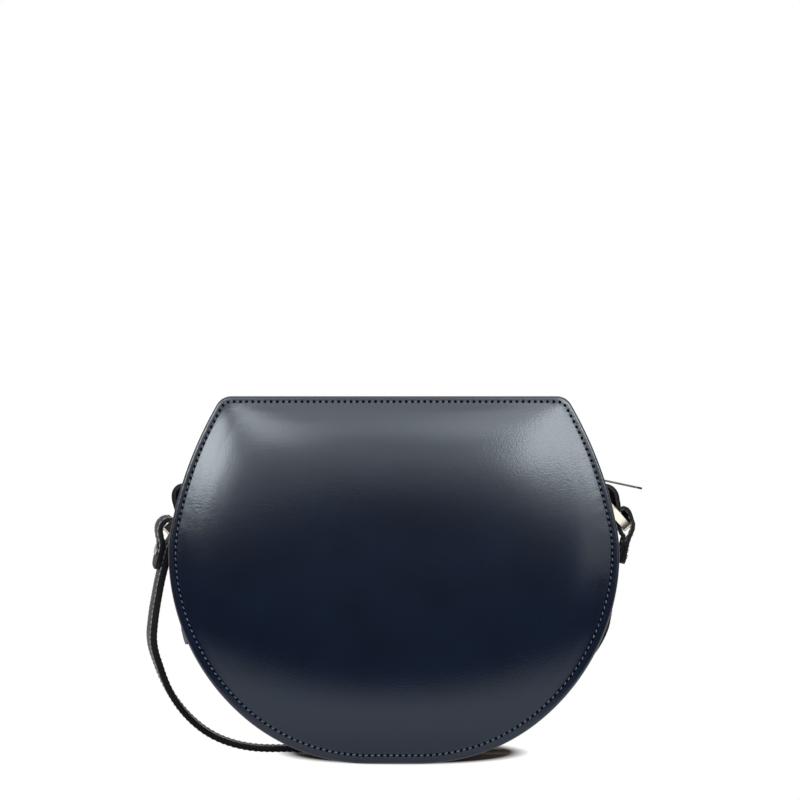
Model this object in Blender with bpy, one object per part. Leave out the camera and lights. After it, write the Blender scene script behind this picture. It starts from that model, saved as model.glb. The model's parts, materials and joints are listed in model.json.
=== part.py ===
"""Half moon shoulder bag with a zip over the top and a buckled leather strap.

The bag is two domed leather panels joined by a gusset round the sides and the bottom, and by a pair
of zip facings over the top. Each side has a leather loop that holds a metal ring, and the strap is
folded and riveted round the two rings. The strap is stored standing in one turn behind the bag.

Units are metres. X runs to the right as seen from the front, Y to the back, Z up.
"""

import math

import bmesh
import bpy
import numpy as np
from mathutils import Euler, Matrix, Vector

# Whole bag
BAG_WIDTH = 0.200
BAG_HEIGHT = 0.163
BAG_DEPTH = 0.065
PANEL_CORNER = 0.0075
PANEL_DOME = 0.004
FIT_GAP = 0.0003
FOOTPRINT_BACK_SHIFT = 0.0142

# Outline of half a panel, for a half width of one: a flat rest, then tangent arcs going up
REST_SHARE = 0.109
ARC_RADIUS_AND_DEGREE_SHARES = (
    (0.863, 10.0),
    (0.850, 29.5),
    (0.957, 47.5),
    (0.718, 14.5),
    (1.765, 22.0),
)
HEIGHT_SHARE = 1.63
CENTRE_HEIGHT_SHARE = 0.52
ARC_STEPS = 40

# Leather, board and lining
PANEL_THICK = 0.0020
EDGE_BEVEL = 0.0004
BOARD_THICK = 0.0012
LINING_THICK = 0.0006
GUSSET_THICK = 0.0014
FLANGE_EDGE_INSET = 0.0008
WALL_INSET = 0.0070
WALL_CORNER = 0.0140
LEAST_CORNER = 0.0005

# How finely the outline is followed
GUSSET_STEP = 0.0101
SHOULDER_STEPS = 3
CORNER_STEPS = 4
TOP_STEPS = 5
PANEL_RING_SHARES = (0.8, 0.6, 0.4, 0.2)
INNER_RING_SHARES = (0.8, 0.4)

# Side loops that hold the rings: each hangs from the seam and turns under the ring's inner bar
LOOP_SEAM_HEIGHT_SHARE = 0.7577
LOOP_WIDTH = 0.0122
LOOP_THICK = 0.0021
LOOP_FOOT = 0.0080
LOOP_FOOT_DROP = 0.0055
LOOP_TUCK = 0.0042
LOOP_STEP = 0.0016
LOOP_TURN_DEGREES = (-45.0, -10.0)

# Side loops between the ring's bar and the seam, as shares of half the width and of the height
LEFT_LOOP_SHARES = (
    (0.972, 0.6985),
    (0.985, 0.7190),
    (0.984, 0.7380),
    (0.965, 0.7530),
    (0.938, 0.7560),
)
RIGHT_LOOP_SHARES = (
    (0.999, 0.7110),
    (0.996, 0.7300),
    (0.982, 0.7470),
    (0.958, 0.7545),
    (0.932, 0.7540),
)

# Rings
RING_INNER_WIDTH = 0.0136
RING_BAR = 0.0016
RING_TALL = 0.0040
RING_LENGTH = 0.0126
RING_CORNER = 0.0016
LEFT_RING_DROP_DEGREES = 42.5
RIGHT_RING_DROP_DEGREES = 49.0

# Each ring's inner bar, as shares of half the width and of the height
LEFT_PIVOT_SHARES = (0.926, 0.683)
RIGHT_PIVOT_SHARES = (0.962, 0.698)

# Zip
TAPE_THICK = 0.0006
TAPE_INNER = 0.0027
TAPE_OUTER = 0.0135
SLOT_HALF = 0.0056
TOOTH_PITCH = 0.0030
TOOTH_WIDE = 0.0012
TOOTH_TAPER = 0.0002
TOOTH_TALL = 0.0022
TOOTH_REACH = 0.0009
TOOTH_ROOT = 0.0011
CHAIN_HALF = 0.0024
STOP_LONG = 0.0012
STOP_OUTER = 0.0040
STOP_INNER = 0.0014

# Zip slider and puller
SLIDER_LONG = 0.0116
SLIDER_NOSE_HALF = 0.0046
SLIDER_TAIL_HALF = 0.0038
SLIDER_PLATE = 0.0010
SLIDER_RIM = 0.0012
SLIDER_POST_RADIUS = 0.0009
SLIDER_POST_BACK = 0.0019
BAIL_WIDTH = 0.0024
BAIL_THICK = 0.0010
BAIL_RADIUS = 0.0014
PULLER_LENGTH = 0.0248
PULLER_DROP_DEGREES = 12.0
PULLER_WIDTH = 0.0080
PULLER_TIP_WIDTH = 0.0088
PULLER_THICK = 0.0009
PULLER_BAR = 0.0005
PULLER_EYE_LENGTH = 0.0054
PULLER_EYE_WIDTH = 0.0034
PULLER_NECK_WIDTH = 0.0064

# Strap
STRAP_WIDTH = 0.0120
STRAP_THICK = 0.0026
LEFT_FOLD_THICK = 0.0022
RIGHT_FOLD_THICK = 0.0015
FOLD_REACH = 0.0050
LEFT_FOLD_TAIL = 0.0128
RIGHT_FOLD_TAIL = 0.0080
LEFT_TURN_DEGREES = 8.0
LEFT_LEG_DROP = 0.0068
RIGHT_LEG_DROP = 0.0088
STRAP_STEP = 0.0075
FOLD_STEP = 0.0016
FOLD_OVERLAP_STEPS = 5
STRAP_TIP_CHAMFER = 0.0025
RIVET_HEAD_RADIUS = 0.0028
RIVET_HEAD_PROUD = 0.0010
RIVET_BACK_RADIUS = 0.0024
RIVET_BACK_PROUD = 0.0005
RIVET_SHANK_RADIUS = 0.0013
LEFT_RIVET_RISE = 0.0082
RIGHT_RIVET_RISE = 0.0036
RIVET_SIDES = 16

# Buckle
BUCKLE_INNER_WIDTH = 0.0136
BUCKLE_LENGTH = 0.0140
BUCKLE_WIRE = 0.0018
BUCKLE_CORNER = 0.0020
BUCKLE_EYE_RADIUS = 0.0016
BUCKLE_EYE_THICK = 0.0012
PRONG_WIDE = 0.0018
PRONG_THICK = 0.0012
PRONG_SLOT = 0.0030
PRONG_SLOT_LONG = 0.0090
HOLE_RADIUS = 0.0014
HOLE_PITCH = 0.0180
HOLE_COUNT = 5
TAIL_LENGTH = 0.1120
KEEPER_THICK = 0.0014
KEEPER_WIDTH = 0.0070
KEEPER_PLACES = (0.0150, 0.0400)
KEEPER_SLACK = 0.0004

# Pocket inside, sewn to the back lining
POCKET_WIDTH = 0.110
POCKET_HEIGHT = 0.075
POCKET_THICK = 0.0006
POCKET_BASE = 0.035
POCKET_STEPS = (8, 6)

# The strap's way behind the bag, as shares of half the bag's width, of its depth and of its height
LONG_ROUTE_SHARES = (
    (-1.016, 0.000, 0.5890),
    (-1.029, 0.008, 0.5550),
    (-1.049, 0.030, 0.5090),
    (-1.077, 0.090, 0.4250),
    (-1.096, 0.215, 0.3230),
    (-1.082, 0.292, 0.2770),
    (-1.030, 0.430, 0.1850),
    (-0.958, 0.554, 0.1150),
    (-0.876, 0.630, 0.0660),
    (-0.800, 0.664, 0.0380),
    (-0.690, 0.685, 0.0165),
    (-0.560, 0.692, 0.0090),
    (-0.420, 0.700, 0.0086),
    (-0.150, 0.715, 0.0086),
    (0.120, 0.765, 0.0086),
    (0.340, 0.830, 0.0090),
    (0.530, 0.885, 0.0380),
    (0.700, 0.905, 0.1300),
    (0.830, 0.905, 0.2700),
    (0.870, 0.905, 0.4200),
    (0.800, 0.900, 0.5900),
    (0.610, 0.885, 0.7000),
    (0.350, 0.865, 0.7480),
    (0.120, 0.845, 0.7530),
)
SHORT_ROUTE_SHARES = (
    (-0.220, 0.825, 0.7420),
    (-0.400, 0.810, 0.7220),
    (-0.600, 0.785, 0.6700),
    (-0.780, 0.765, 0.5850),
    (-0.890, 0.752, 0.4700),
    (-0.930, 0.745, 0.3500),
    (-0.852, 0.740, 0.2350),
    (-0.728, 0.735, 0.1350),
    (-0.565, 0.735, 0.0600),
    (-0.390, 0.735, 0.0335),
    (-0.150, 0.730, 0.0300),
    (0.120, 0.715, 0.0300),
    (0.360, 0.700, 0.0370),
    (0.580, 0.685, 0.0800),
    (0.745, 0.669, 0.1656),
    (0.866, 0.630, 0.2515),
    (0.932, 0.540, 0.3129),
    (0.964, 0.412, 0.3681),
    (0.976, 0.277, 0.4233),
    (0.986, 0.154, 0.4785),
    (0.989, 0.069, 0.5245),
    (0.995, 0.018, 0.5583),
    (1.0085, 0.000, 0.5860),
)

# The strap's way round each ring's outer bar, as shares of the fold's reach from that bar
LEFT_FOLD_SHARES = (
    (-0.20, -1.06),
    (-0.56, -0.50),
    (-0.78, 0.22),
    (-0.50, 0.84),
    (-0.06, 1.08),
    (0.48, 0.84),
    (0.80, 0.32),
    (0.78, -0.24),
    (0.66, -0.80),
)
RIGHT_FOLD_SHARES = (
    (-0.58, -1.00),
    (-0.52, -0.52),
    (-0.68, -0.08),
    (-0.78, 0.36),
    (-0.80, 0.80),
    (-0.72, 1.20),
    (-0.48, 1.64),
    (-0.08, 1.84),
    (0.26, 1.60),
    (0.50, 1.02),
    (0.63, 0.26),
    (0.44, -0.52),
    (0.10, -1.16),
)


def clear_scene():
    for old in list(bpy.data.objects):
        bpy.data.objects.remove(old, do_unlink=True)


def material(name, colour, roughness, metallic):
    """A Principled material of its own for one piece."""
    made = bpy.data.materials.new(name)
    made.use_nodes = True
    shader = made.node_tree.nodes["Principled BSDF"]
    shader.inputs["Base Color"].default_value = (*colour, 1.0)
    shader.inputs["Roughness"].default_value = roughness
    shader.inputs["Metallic"].default_value = metallic
    return made


NAVY = (0.012, 0.020, 0.038)
NAVY_SIDE = (0.016, 0.022, 0.034)
STRAP_NAVY = (0.014, 0.018, 0.026)
BOARD_GREY = (0.30, 0.28, 0.25)
LINING_BLUE = (0.06, 0.09, 0.15)
TAPE_NAVY = (0.010, 0.014, 0.026)
NICKEL = (0.80, 0.76, 0.68)
DARK_NICKEL = (0.55, 0.53, 0.50)


def unit_outline():
    """Points of the right half outline for a half width of one, from the bottom centre upwards."""
    points = [(0.0, 0.0), (REST_SHARE, 0.0)]
    heading = 0.0
    for radius, degrees in ARC_RADIUS_AND_DEGREE_SHARES:
        turn = math.radians(degrees)
        start = points[-1]
        centre = (start[0] - radius * math.sin(heading), start[1] + radius * math.cos(heading))
        for step in range(1, ARC_STEPS + 1):
            angle = heading + turn * step / ARC_STEPS
            points.append((centre[0] + radius * math.sin(angle), centre[1] - radius * math.cos(angle)))
        heading += turn
    return np.array(points)


def outline_track():
    """The half outline at real size: lengths along it, points and outward normals."""
    unit = unit_outline()
    half_width = BAG_WIDTH / 2
    points = np.stack(
        [unit[:, 0] * half_width / unit[:, 0].max(), unit[:, 1] * BAG_HEIGHT / HEIGHT_SHARE], axis=1
    )
    steps = np.linalg.norm(np.diff(points, axis=0), axis=1)
    lengths = np.concatenate([[0.0], np.cumsum(steps)])
    tangents = np.gradient(points, lengths, axis=0)
    tangents[0] = tangents[1] = (1.0, 0.0)
    tangents /= np.linalg.norm(tangents, axis=1)[:, None]
    normals = np.stack([tangents[:, 1], -tangents[:, 0]], axis=1)
    return lengths, points, normals


TRACK_LENGTHS, TRACK_POINTS, TRACK_NORMALS = outline_track()


def track_at(length, inset):
    """Point and unit normal at a length along the half outline, moved inwards by the inset."""
    point = np.array([np.interp(length, TRACK_LENGTHS, TRACK_POINTS[:, i]) for i in range(2)])
    normal = np.array([np.interp(length, TRACK_LENGTHS, TRACK_NORMALS[:, i]) for i in range(2)])
    normal /= np.linalg.norm(normal)
    return point - inset * normal, normal


def length_at_height(height):
    return float(np.interp(height, TRACK_POINTS[:, 1], TRACK_LENGTHS))


SEAM_MIDDLE = length_at_height(BAG_HEIGHT * LOOP_SEAM_HEIGHT_SHARE)
SEAM_START = SEAM_MIDDLE - LOOP_THICK / 2 - FIT_GAP
SEAM_END = SEAM_MIDDLE + LOOP_THICK / 2 + FIT_GAP


def rounded_corner(inset, corner):
    """Where the side meets the top line: length along the side, fillet centre, radius and normal."""
    radius = max(corner - inset, LEAST_CORNER)
    centres = TRACK_POINTS - (inset + radius) * TRACK_NORMALS
    height = BAG_HEIGHT - inset - radius
    upper = len(centres) // 2
    length = float(np.interp(height, centres[upper:, 1], TRACK_LENGTHS[upper:]))
    centre, normal = track_at(length, inset + radius)
    return length, centre, radius, normal


def lower_edge(inset):
    """Points from the bottom centre up to the seam at the side loop."""
    count = round(SEAM_START / GUSSET_STEP)
    rest = REST_SHARE * BAG_WIDTH / 2
    lengths = [0.0, *np.linspace(rest, SEAM_START, count)]
    return [track_at(length, inset)[0] for length in lengths]


def upper_edge(inset, corner, counts=(SHOULDER_STEPS, CORNER_STEPS, TOP_STEPS)):
    """Points from the seam over the shoulder and the corner to the middle of the top."""
    length, centre, radius, normal = rounded_corner(inset, corner)
    points = [track_at(at, inset)[0] for at in np.linspace(SEAM_END, length, counts[0] + 1)]
    first = math.atan2(normal[1], normal[0])
    for angle in np.linspace(first, math.pi / 2, counts[1] + 1)[1:]:
        points.append(centre + radius * np.array([math.cos(angle), math.sin(angle)]))
    for across in np.linspace(centre[0], 0.0, counts[2] + 1)[1:]:
        points.append(np.array([across, BAG_HEIGHT - inset]))
    return points


def mirrored(points):
    """The right half's points followed by the left half's, the middle point once."""
    left = [np.array([-p[0], p[1]]) for p in reversed(points)]
    return points + (left[1:] if abs(points[-1][0]) < LEAST_CORNER / 1000 else left)


def closed_outline(inset, corner):
    """The whole outline at an inset, anticlockwise from the bottom centre."""
    half = lower_edge(inset) + upper_edge(inset, corner)
    return np.array(mirrored(half)[:-1])


def place(points, depth):
    """Outline points and one depth, or a depth each, as points in space."""
    points = np.asarray(points)
    return np.column_stack([points[:, 0], np.broadcast_to(depth, len(points)), points[:, 1]])


BAG_CENTRE = np.array([0.0, BAG_HEIGHT * CENTRE_HEIGHT_SHARE])
DOME_INSET = WALL_INSET + GUSSET_THICK + FIT_GAP
DOME_RIM = closed_outline(DOME_INSET, WALL_CORNER + WALL_INSET)
RIM_ANGLES = np.arctan2(DOME_RIM[:, 1] - BAG_CENTRE[1], DOME_RIM[:, 0])
RIM_ORDER = np.argsort(RIM_ANGLES)
RIM_REACHES = np.linalg.norm(DOME_RIM - BAG_CENTRE, axis=1)


def dome_at(points):
    """How far a panel bulges at each point: nothing at the seam, most at the middle."""
    away = np.asarray(points) - BAG_CENTRE
    angles = np.arctan2(away[:, 1], away[:, 0])
    reach = np.interp(angles, RIM_ANGLES[RIM_ORDER], RIM_REACHES[RIM_ORDER], period=2 * math.pi)
    share = np.clip(np.linalg.norm(away, axis=1) / reach, 0.0, 1.0)
    return PANEL_DOME * (1.0 - share**2)


def inner_dome_at(points):
    """The bulge of the layers inside a panel, which follow the dome in a few straight steps."""
    shares = np.sqrt(np.clip(1.0 - dome_at(points) / PANEL_DOME, 0.0, 1.0))
    stations = np.array([0.0, *INNER_RING_SHARES[::-1], 1.0])
    return np.interp(shares, stations, PANEL_DOME * (1.0 - stations**2))


def finish(name, mesh_maker, finish_material, smooth=True):
    """A named object from a bmesh, with its faces turned outwards."""
    mesh = bpy.data.meshes.new(name)
    bmesh.ops.recalc_face_normals(mesh_maker, faces=mesh_maker.faces)
    mesh_maker.to_mesh(mesh)
    mesh_maker.free()
    made = bpy.data.objects.new(name, mesh)
    bpy.context.collection.objects.link(made)
    made.data.materials.append(finish_material)
    if smooth:
        mesh.shade_smooth()
        mesh.set_sharp_from_angle(angle=math.radians(35.0))
    made.parent = ROOT
    return made


def skin(rings, middles=None):
    """A closed solid through rings with equal numbers of points, capped at both ends.

    With two middles, one for each end, a cap is a fan round its middle.
    """
    shape = bmesh.new()
    loops = [[shape.verts.new(point) for point in ring] for ring in rings]
    count = len(loops[0])
    for low, high in zip(loops, loops[1:]):
        for i in range(count):
            j = (i + 1) % count
            shape.faces.new((low[i], low[j], high[j], high[i]))
    for number, loop in enumerate((loops[0], loops[-1])):
        if middles is None:
            shape.faces.new(loop)
        else:
            middle = shape.verts.new(middles[number])
            for i in range(count):
                shape.faces.new((loop[i], loop[(i + 1) % count], middle))
    return shape


def cutter(shape, name):
    """A hidden tool body for a Boolean."""
    mesh = bpy.data.meshes.new(name)
    bmesh.ops.recalc_face_normals(shape, faces=shape.faces)
    shape.to_mesh(mesh)
    shape.free()
    made = bpy.data.objects.new(name, mesh)
    bpy.context.collection.objects.link(made)
    made.hide_render = True
    made.display_type = "WIRE"
    made.parent = ROOT
    return made


def combine(target, tool, operation):
    change = target.modifiers.new(tool.name, "BOOLEAN")
    change.operation = operation
    change.object = tool
    change.solver = "EXACT"


def dome_middle(side, depth):
    """The point of a domed face over the bag's centre, for the face's depth at the rim."""
    return (BAG_CENTRE[0], side * (BAG_DEPTH / 2 - depth + PANEL_DOME), BAG_CENTRE[1])


def bent_plate(front, outer, thick):
    """A plate inside the gusset's wall that follows the dome; outer is its outer face's depth."""
    rim = closed_outline(DOME_INSET, WALL_CORNER + WALL_INSET)
    side = -1.0 if front else 1.0
    half = BAG_DEPTH / 2
    faces = []
    for depth in (outer, outer + thick):
        rings = [place(rim, side * (half - depth))]
        for share in INNER_RING_SHARES:
            ring = BAG_CENTRE + (rim - BAG_CENTRE) * share
            rings.append(place(ring, side * (half - depth + dome_at(ring))))
        faces.append(rings)
    middles = (dome_middle(side, outer), dome_middle(side, outer + thick))
    return skin(faces[0][::-1] + faces[1], middles)


def make_panel(name, front, colour):
    """Outer leather panel: flat at the sewn rim with a bevelled edge, domed inside it."""
    side = -1.0 if front else 1.0
    half = BAG_DEPTH / 2
    rim = closed_outline(0.0, PANEL_CORNER)
    rim_in = closed_outline(EDGE_BEVEL, PANEL_CORNER)
    seam = closed_outline(DOME_INSET, WALL_CORNER + WALL_INSET)
    rings = []
    for share in reversed(PANEL_RING_SHARES):
        ring = BAG_CENTRE + (seam - BAG_CENTRE) * share
        rings.append(place(ring, side * (half + dome_at(ring))))
    rings.append(place(seam, side * half))
    rings.append(place(rim_in, side * half))
    rings.append(place(rim, side * (half - EDGE_BEVEL)))
    rings.append(place(rim, side * (half - PANEL_THICK + EDGE_BEVEL)))
    rings.append(place(rim_in, side * (half - PANEL_THICK)))
    rings.append(place(seam, side * (half - PANEL_THICK)))
    for share in INNER_RING_SHARES:
        ring = BAG_CENTRE + (seam - BAG_CENTRE) * share
        rings.append(place(ring, side * (half - PANEL_THICK + dome_at(ring))))
    middles = (dome_middle(side, 0), dome_middle(side, PANEL_THICK))
    return finish(name, skin(rings, middles), material(name, colour, 0.38, 0.0))


FLANGE_DEPTH = PANEL_THICK + FIT_GAP
WALL_DEPTH = FLANGE_DEPTH + GUSSET_THICK
LINING_DEPTH = FLANGE_DEPTH + BOARD_THICK + FIT_GAP
INSIDE_DEPTH = LINING_DEPTH + LINING_THICK


def make_board(name, front):
    """Stiffening board glued behind a panel, inside the gusset's wall."""
    shape = bent_plate(front, FLANGE_DEPTH, BOARD_THICK)
    return finish(name, shape, material(name, BOARD_GREY, 0.8, 0.0))


def make_lining(name, front):
    shape = bent_plate(front, LINING_DEPTH, LINING_THICK)
    return finish(name, shape, material(name, LINING_BLUE, 0.9, 0.0))


def sweep_round(section, edges):
    """Sections through the edges: each section point is a depth and the number of its edge."""
    rings = []
    for i in range(len(edges[0])):
        rings.append([(edges[e][i][0], depth, edges[e][i][1]) for depth, e in section])
    return rings


def make_gusset():
    """Leather channel round the sides and bottom, with flanges turned out behind the panels."""
    edges = [
        mirrored(list(reversed(lower_edge(inset))))
        for inset in (FLANGE_EDGE_INSET, WALL_INSET, WALL_INSET + GUSSET_THICK)
    ]
    outer = BAG_DEPTH / 2 - FLANGE_DEPTH
    inner = BAG_DEPTH / 2 - WALL_DEPTH
    section = (
        (-outer, 0),
        (-inner, 0),
        (-inner, 1),
        (inner, 1),
        (inner, 0),
        (outer, 0),
        (outer, 2),
        (-outer, 2),
    )
    return finish(
        "gusset", skin(sweep_round(section, edges)), material("gusset", NAVY_SIDE, 0.45, 0.0)
    )


def make_gusset_layer(name, outer_inset, thick, colour):
    """A strip inside the gusset's wall, from seam to seam, clear of the panel linings."""
    edges = [
        mirrored(list(reversed(lower_edge(inset)))) for inset in (outer_inset, outer_inset + thick)
    ]
    half = BAG_DEPTH / 2 - INSIDE_DEPTH - FIT_GAP
    section = ((-half, 0), (half, 0), (half, 1), (-half, 1))
    return finish(name, skin(sweep_round(section, edges)), material(name, colour, 0.85, 0.0))


def make_zip_facing(name, front):
    """Leather strip beside the zip, over the top from seam to seam, with its own flange."""
    side = -1.0 if front else 1.0
    wall = WALL_CORNER + WALL_INSET
    edges = [
        mirrored(upper_edge(inset, corner))
        for inset, corner in (
            (FLANGE_EDGE_INSET, PANEL_CORNER),
            (WALL_INSET, wall),
            (WALL_INSET + GUSSET_THICK, wall),
        )
    ]
    outer = side * (BAG_DEPTH / 2 - FLANGE_DEPTH)
    inner = side * (BAG_DEPTH / 2 - WALL_DEPTH)
    slot = side * SLOT_HALF
    section = ((outer, 0), (inner, 0), (inner, 1), (slot, 1), (slot, 2), (outer, 2))
    return finish(name, skin(sweep_round(section, edges)), material(name, NAVY_SIDE, 0.45, 0.0))


TAPE_MID_INSET = WALL_INSET + GUSSET_THICK + FIT_GAP + TAPE_THICK / 2


def zip_track():
    """Lengths, points and normals of the zip's middle line, from the right seam to the left."""
    points = mirrored(upper_edge(TAPE_MID_INSET, WALL_CORNER + WALL_INSET, [ARC_STEPS] * 3))
    points = np.array(points)
    steps = np.linalg.norm(np.diff(points, axis=0), axis=1)
    lengths = np.concatenate([[0.0], np.cumsum(steps)])
    tangents = np.gradient(points, lengths, axis=0)
    tangents /= np.linalg.norm(tangents, axis=1)[:, None]
    normals = np.stack([tangents[:, 1], -tangents[:, 0]], axis=1)
    return lengths, points, normals


ZIP_LENGTHS, ZIP_POINTS, ZIP_NORMALS = zip_track()


def zip_section(length, corners):
    """Corners, each a depth and a height above the tape's middle, set at a length of the zip."""
    point = [np.interp(length, ZIP_LENGTHS, ZIP_POINTS[:, i]) for i in range(2)]
    normal = [np.interp(length, ZIP_LENGTHS, ZIP_NORMALS[:, i]) for i in range(2)]
    return [(point[0] + normal[0] * up, depth, point[1] + normal[1] * up) for depth, up in corners]


STOP_START = FIT_GAP
NOSE_AT = STOP_START + STOP_LONG + FIT_GAP
SLIDER_AT = NOSE_AT + SLIDER_LONG / 2
TEETH_START = NOSE_AT + SLIDER_POST_BACK + SLIDER_POST_RADIUS + FIT_GAP
TEETH_END = ZIP_LENGTHS[-1] - STOP_START - STOP_LONG - FIT_GAP


def make_tape(name, front):
    """Woven tape under the facing, its inner edge clamped between the teeth."""
    side = -1.0 if front else 1.0
    wall = WALL_CORNER + WALL_INSET
    edges = [
        mirrored(upper_edge(inset, wall))
        for inset in (TAPE_MID_INSET - TAPE_THICK / 2, TAPE_MID_INSET + TAPE_THICK / 2)
    ]
    inner, outer = side * TAPE_INNER, side * TAPE_OUTER
    section = ((inner, 0), (outer, 0), (outer, 1), (inner, 1))
    return finish(name, skin(sweep_round(section, edges)), material(name, TAPE_NAVY, 0.9, 0.0))


def make_teeth(name, front):
    """One row of teeth as a comb: each tooth reaches past the middle between two of the other row."""
    side = -1.0 if front else 1.0
    first = TEETH_START + (0.0 if front else TOOTH_PITCH / 2)
    count = int((TEETH_END - first - TOOTH_WIDE) / TOOTH_PITCH) + 1
    top = TOOTH_TALL / 2
    outer = side * CHAIN_HALF

    def comb_section(length, reach):
        inner = -side * reach
        return zip_section(length, ((outer, -top), (outer, top), (inner, top), (inner, -top)))

    rings = []
    for number in range(count):
        start = first + number * TOOTH_PITCH
        end = start + TOOTH_WIDE
        rings.append(comb_section(start, -TOOTH_ROOT))
        rings.append(comb_section(start + TOOTH_TAPER, TOOTH_REACH))
        rings.append(comb_section(end - TOOTH_TAPER, TOOTH_REACH))
        rings.append(comb_section(end, -TOOTH_ROOT))
    return finish(name, skin(rings), material(name, DARK_NICKEL, 0.3, 1.0), smooth=False)


def make_stop(name, front, start):
    """Metal crimp that grips the tape's edge at the closed end of the zip."""
    side = -1.0 if front else 1.0
    top = TOOTH_TALL / 2
    slot = TAPE_THICK / 2 + FIT_GAP
    inner, outer = side * STOP_INNER, side * STOP_OUTER
    root = side * (TAPE_INNER - FIT_GAP)
    corners = (
        (inner, -top),
        (outer, -top),
        (outer, -slot),
        (root, -slot),
        (root, slot),
        (outer, slot),
        (outer, top),
        (inner, top),
    )
    rings = [zip_section(start, corners), zip_section(start + STOP_LONG, corners)]
    return finish(name, skin(rings), material(name, DARK_NICKEL, 0.3, 1.0), smooth=False)


def make_end_stop():
    """Metal box that joins both tapes at the open end of the zip."""
    top = TOOTH_TALL / 2
    slot = TAPE_THICK / 2 + FIT_GAP
    root = TAPE_INNER - FIT_GAP
    right = ((STOP_OUTER, -top), (STOP_OUTER, -slot), (root, -slot), (root, slot), (STOP_OUTER, slot))
    right += ((STOP_OUTER, top),)
    left = tuple((-depth, up) for depth, up in reversed(right))
    end = ZIP_LENGTHS[-1] - STOP_START
    rings = [zip_section(end - STOP_LONG, right + left), zip_section(end, right + left)]
    name = "zip_end_stop"
    return finish(name, skin(rings), material(name, DARK_NICKEL, 0.3, 1.0), smooth=False)


def box(low, high):
    """A box between two corners, as a bmesh."""
    shape = bmesh.new()
    corners = [(x, y, z) for x in (low[0], high[0]) for y in (low[1], high[1]) for z in (low[2], high[2])]
    verts = [shape.verts.new(corner) for corner in corners]
    for face in ((0, 1, 3, 2), (4, 6, 7, 5), (0, 4, 5, 1), (2, 3, 7, 6), (0, 2, 6, 4), (1, 5, 7, 3)):
        shape.faces.new([verts[i] for i in face])
    return shape


def turned(profile, sides, axis):
    """A solid turned round an axis from points, each a place along it and a radius."""
    rings = []
    for along, radius in profile:
        ring = []
        for side in range(sides):
            angle = 2 * math.pi * side / sides
            across = (radius * math.cos(angle), radius * math.sin(angle))
            ring.append((along, *across) if axis == "X" else (across[0], along, across[1]))
        rings.append(ring)
    return skin(rings)


def ribbon_profile(line, thick):
    """Both sides of a bent strip as one closed profile, from its middle line in two dimensions."""
    line = np.asarray(line)
    thick = np.broadcast_to(thick, len(line))
    tangents = np.gradient(line, axis=0)
    tangents /= np.linalg.norm(tangents, axis=1)[:, None]
    normals = np.stack([-tangents[:, 1], tangents[:, 0]], axis=1)
    return line + normals * thick[:, None] / 2, line - normals * thick[:, None] / 2


def strip_solid(line, thick, width):
    """A bent strip whose profile is in X and Z and whose width runs along Y."""
    one, other = ribbon_profile(line, thick)
    rings = []
    for a, b in zip(one, other):
        half = width / 2
        rings.append([(a[0], -half, a[1]), (a[0], half, a[1]), (b[0], half, b[1]), (b[0], -half, b[1])])
    return skin(rings)


def arc(centre, radius, start, end, steps):
    """Points along an arc, angles in degrees from the first axis towards the second."""
    angles = np.radians(np.linspace(start, end, steps + 1))
    return [np.array([centre[0] + radius * math.cos(a), centre[1] + radius * math.sin(a)]) for a in angles]


def ring_pivot(right_side):
    """Centre of the ring's inner bar, in the bottom of the side loop."""
    shares = RIGHT_PIVOT_SHARES if right_side else LEFT_PIVOT_SHARES
    across = shares[0] * BAG_WIDTH / 2
    return np.array([across if right_side else -across, shares[1] * BAG_HEIGHT])


def make_side_loop(name, right_side):
    """Leather loop: a foot on the gusset, a turn under the ring's bar, and an end in the seam."""
    pivot = ring_pivot(True) if right_side else ring_pivot(False) * np.array([-1.0, 1.0])
    turn = math.hypot(RING_BAR, RING_TALL) / 2 + FIT_GAP + LOOP_THICK / 2
    on_wall = WALL_INSET - FIT_GAP - LOOP_THICK / 2
    high = length_at_height(pivot[1] - LOOP_FOOT_DROP)
    points = [track_at(high - LOOP_FOOT, on_wall)[0], track_at(high - LOOP_FOOT / 2, on_wall)[0]]
    points.append(track_at(high, on_wall)[0])
    for degrees in LOOP_TURN_DEGREES:
        angle = math.radians(degrees)
        points.append(pivot + turn * np.array([math.cos(angle), math.sin(angle)]))
    for out, up in RIGHT_LOOP_SHARES if right_side else LEFT_LOOP_SHARES:
        points.append(np.array([out * BAG_WIDTH / 2, up * BAG_HEIGHT]))
    points.append(track_at(SEAM_MIDDLE, WALL_INSET - LOOP_THICK / 2)[0])
    points.append(track_at(SEAM_MIDDLE, WALL_INSET + GUSSET_THICK)[0])
    points.append(track_at(SEAM_MIDDLE, WALL_INSET + GUSSET_THICK + LOOP_TUCK)[0])
    side = 1.0 if right_side else -1.0
    line = smooth_line([(side * p[0], 0.0, p[1]) for p in points], LOOP_STEP)[:, (0, 2)]
    shape = strip_solid(line, LOOP_THICK, LOOP_WIDTH)
    return finish(name, shape, material(name, STRAP_NAVY, 0.45, 0.0))


def ring_reach(right_side):
    """Unit direction from the ring's inner bar to its outer bar, in X and Z."""
    drop = math.radians(RIGHT_RING_DROP_DEGREES if right_side else LEFT_RING_DROP_DEGREES)
    across = math.cos(drop) if right_side else -math.cos(drop)
    return np.array([across, -math.sin(drop)])


def rounded_rectangle(low, high, radius, steps):
    """Corner points of a rounded rectangle in two dimensions, anticlockwise."""
    points = []
    for corner, start in (
        ((high[0] - radius, high[1] - radius), 0.0),
        ((low[0] + radius, high[1] - radius), 90.0),
        ((low[0] + radius, low[1] + radius), 180.0),
        ((high[0] - radius, low[1] + radius), 270.0),
    ):
        points += arc(corner, radius, start, start + 90.0, steps)
    return points


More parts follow.
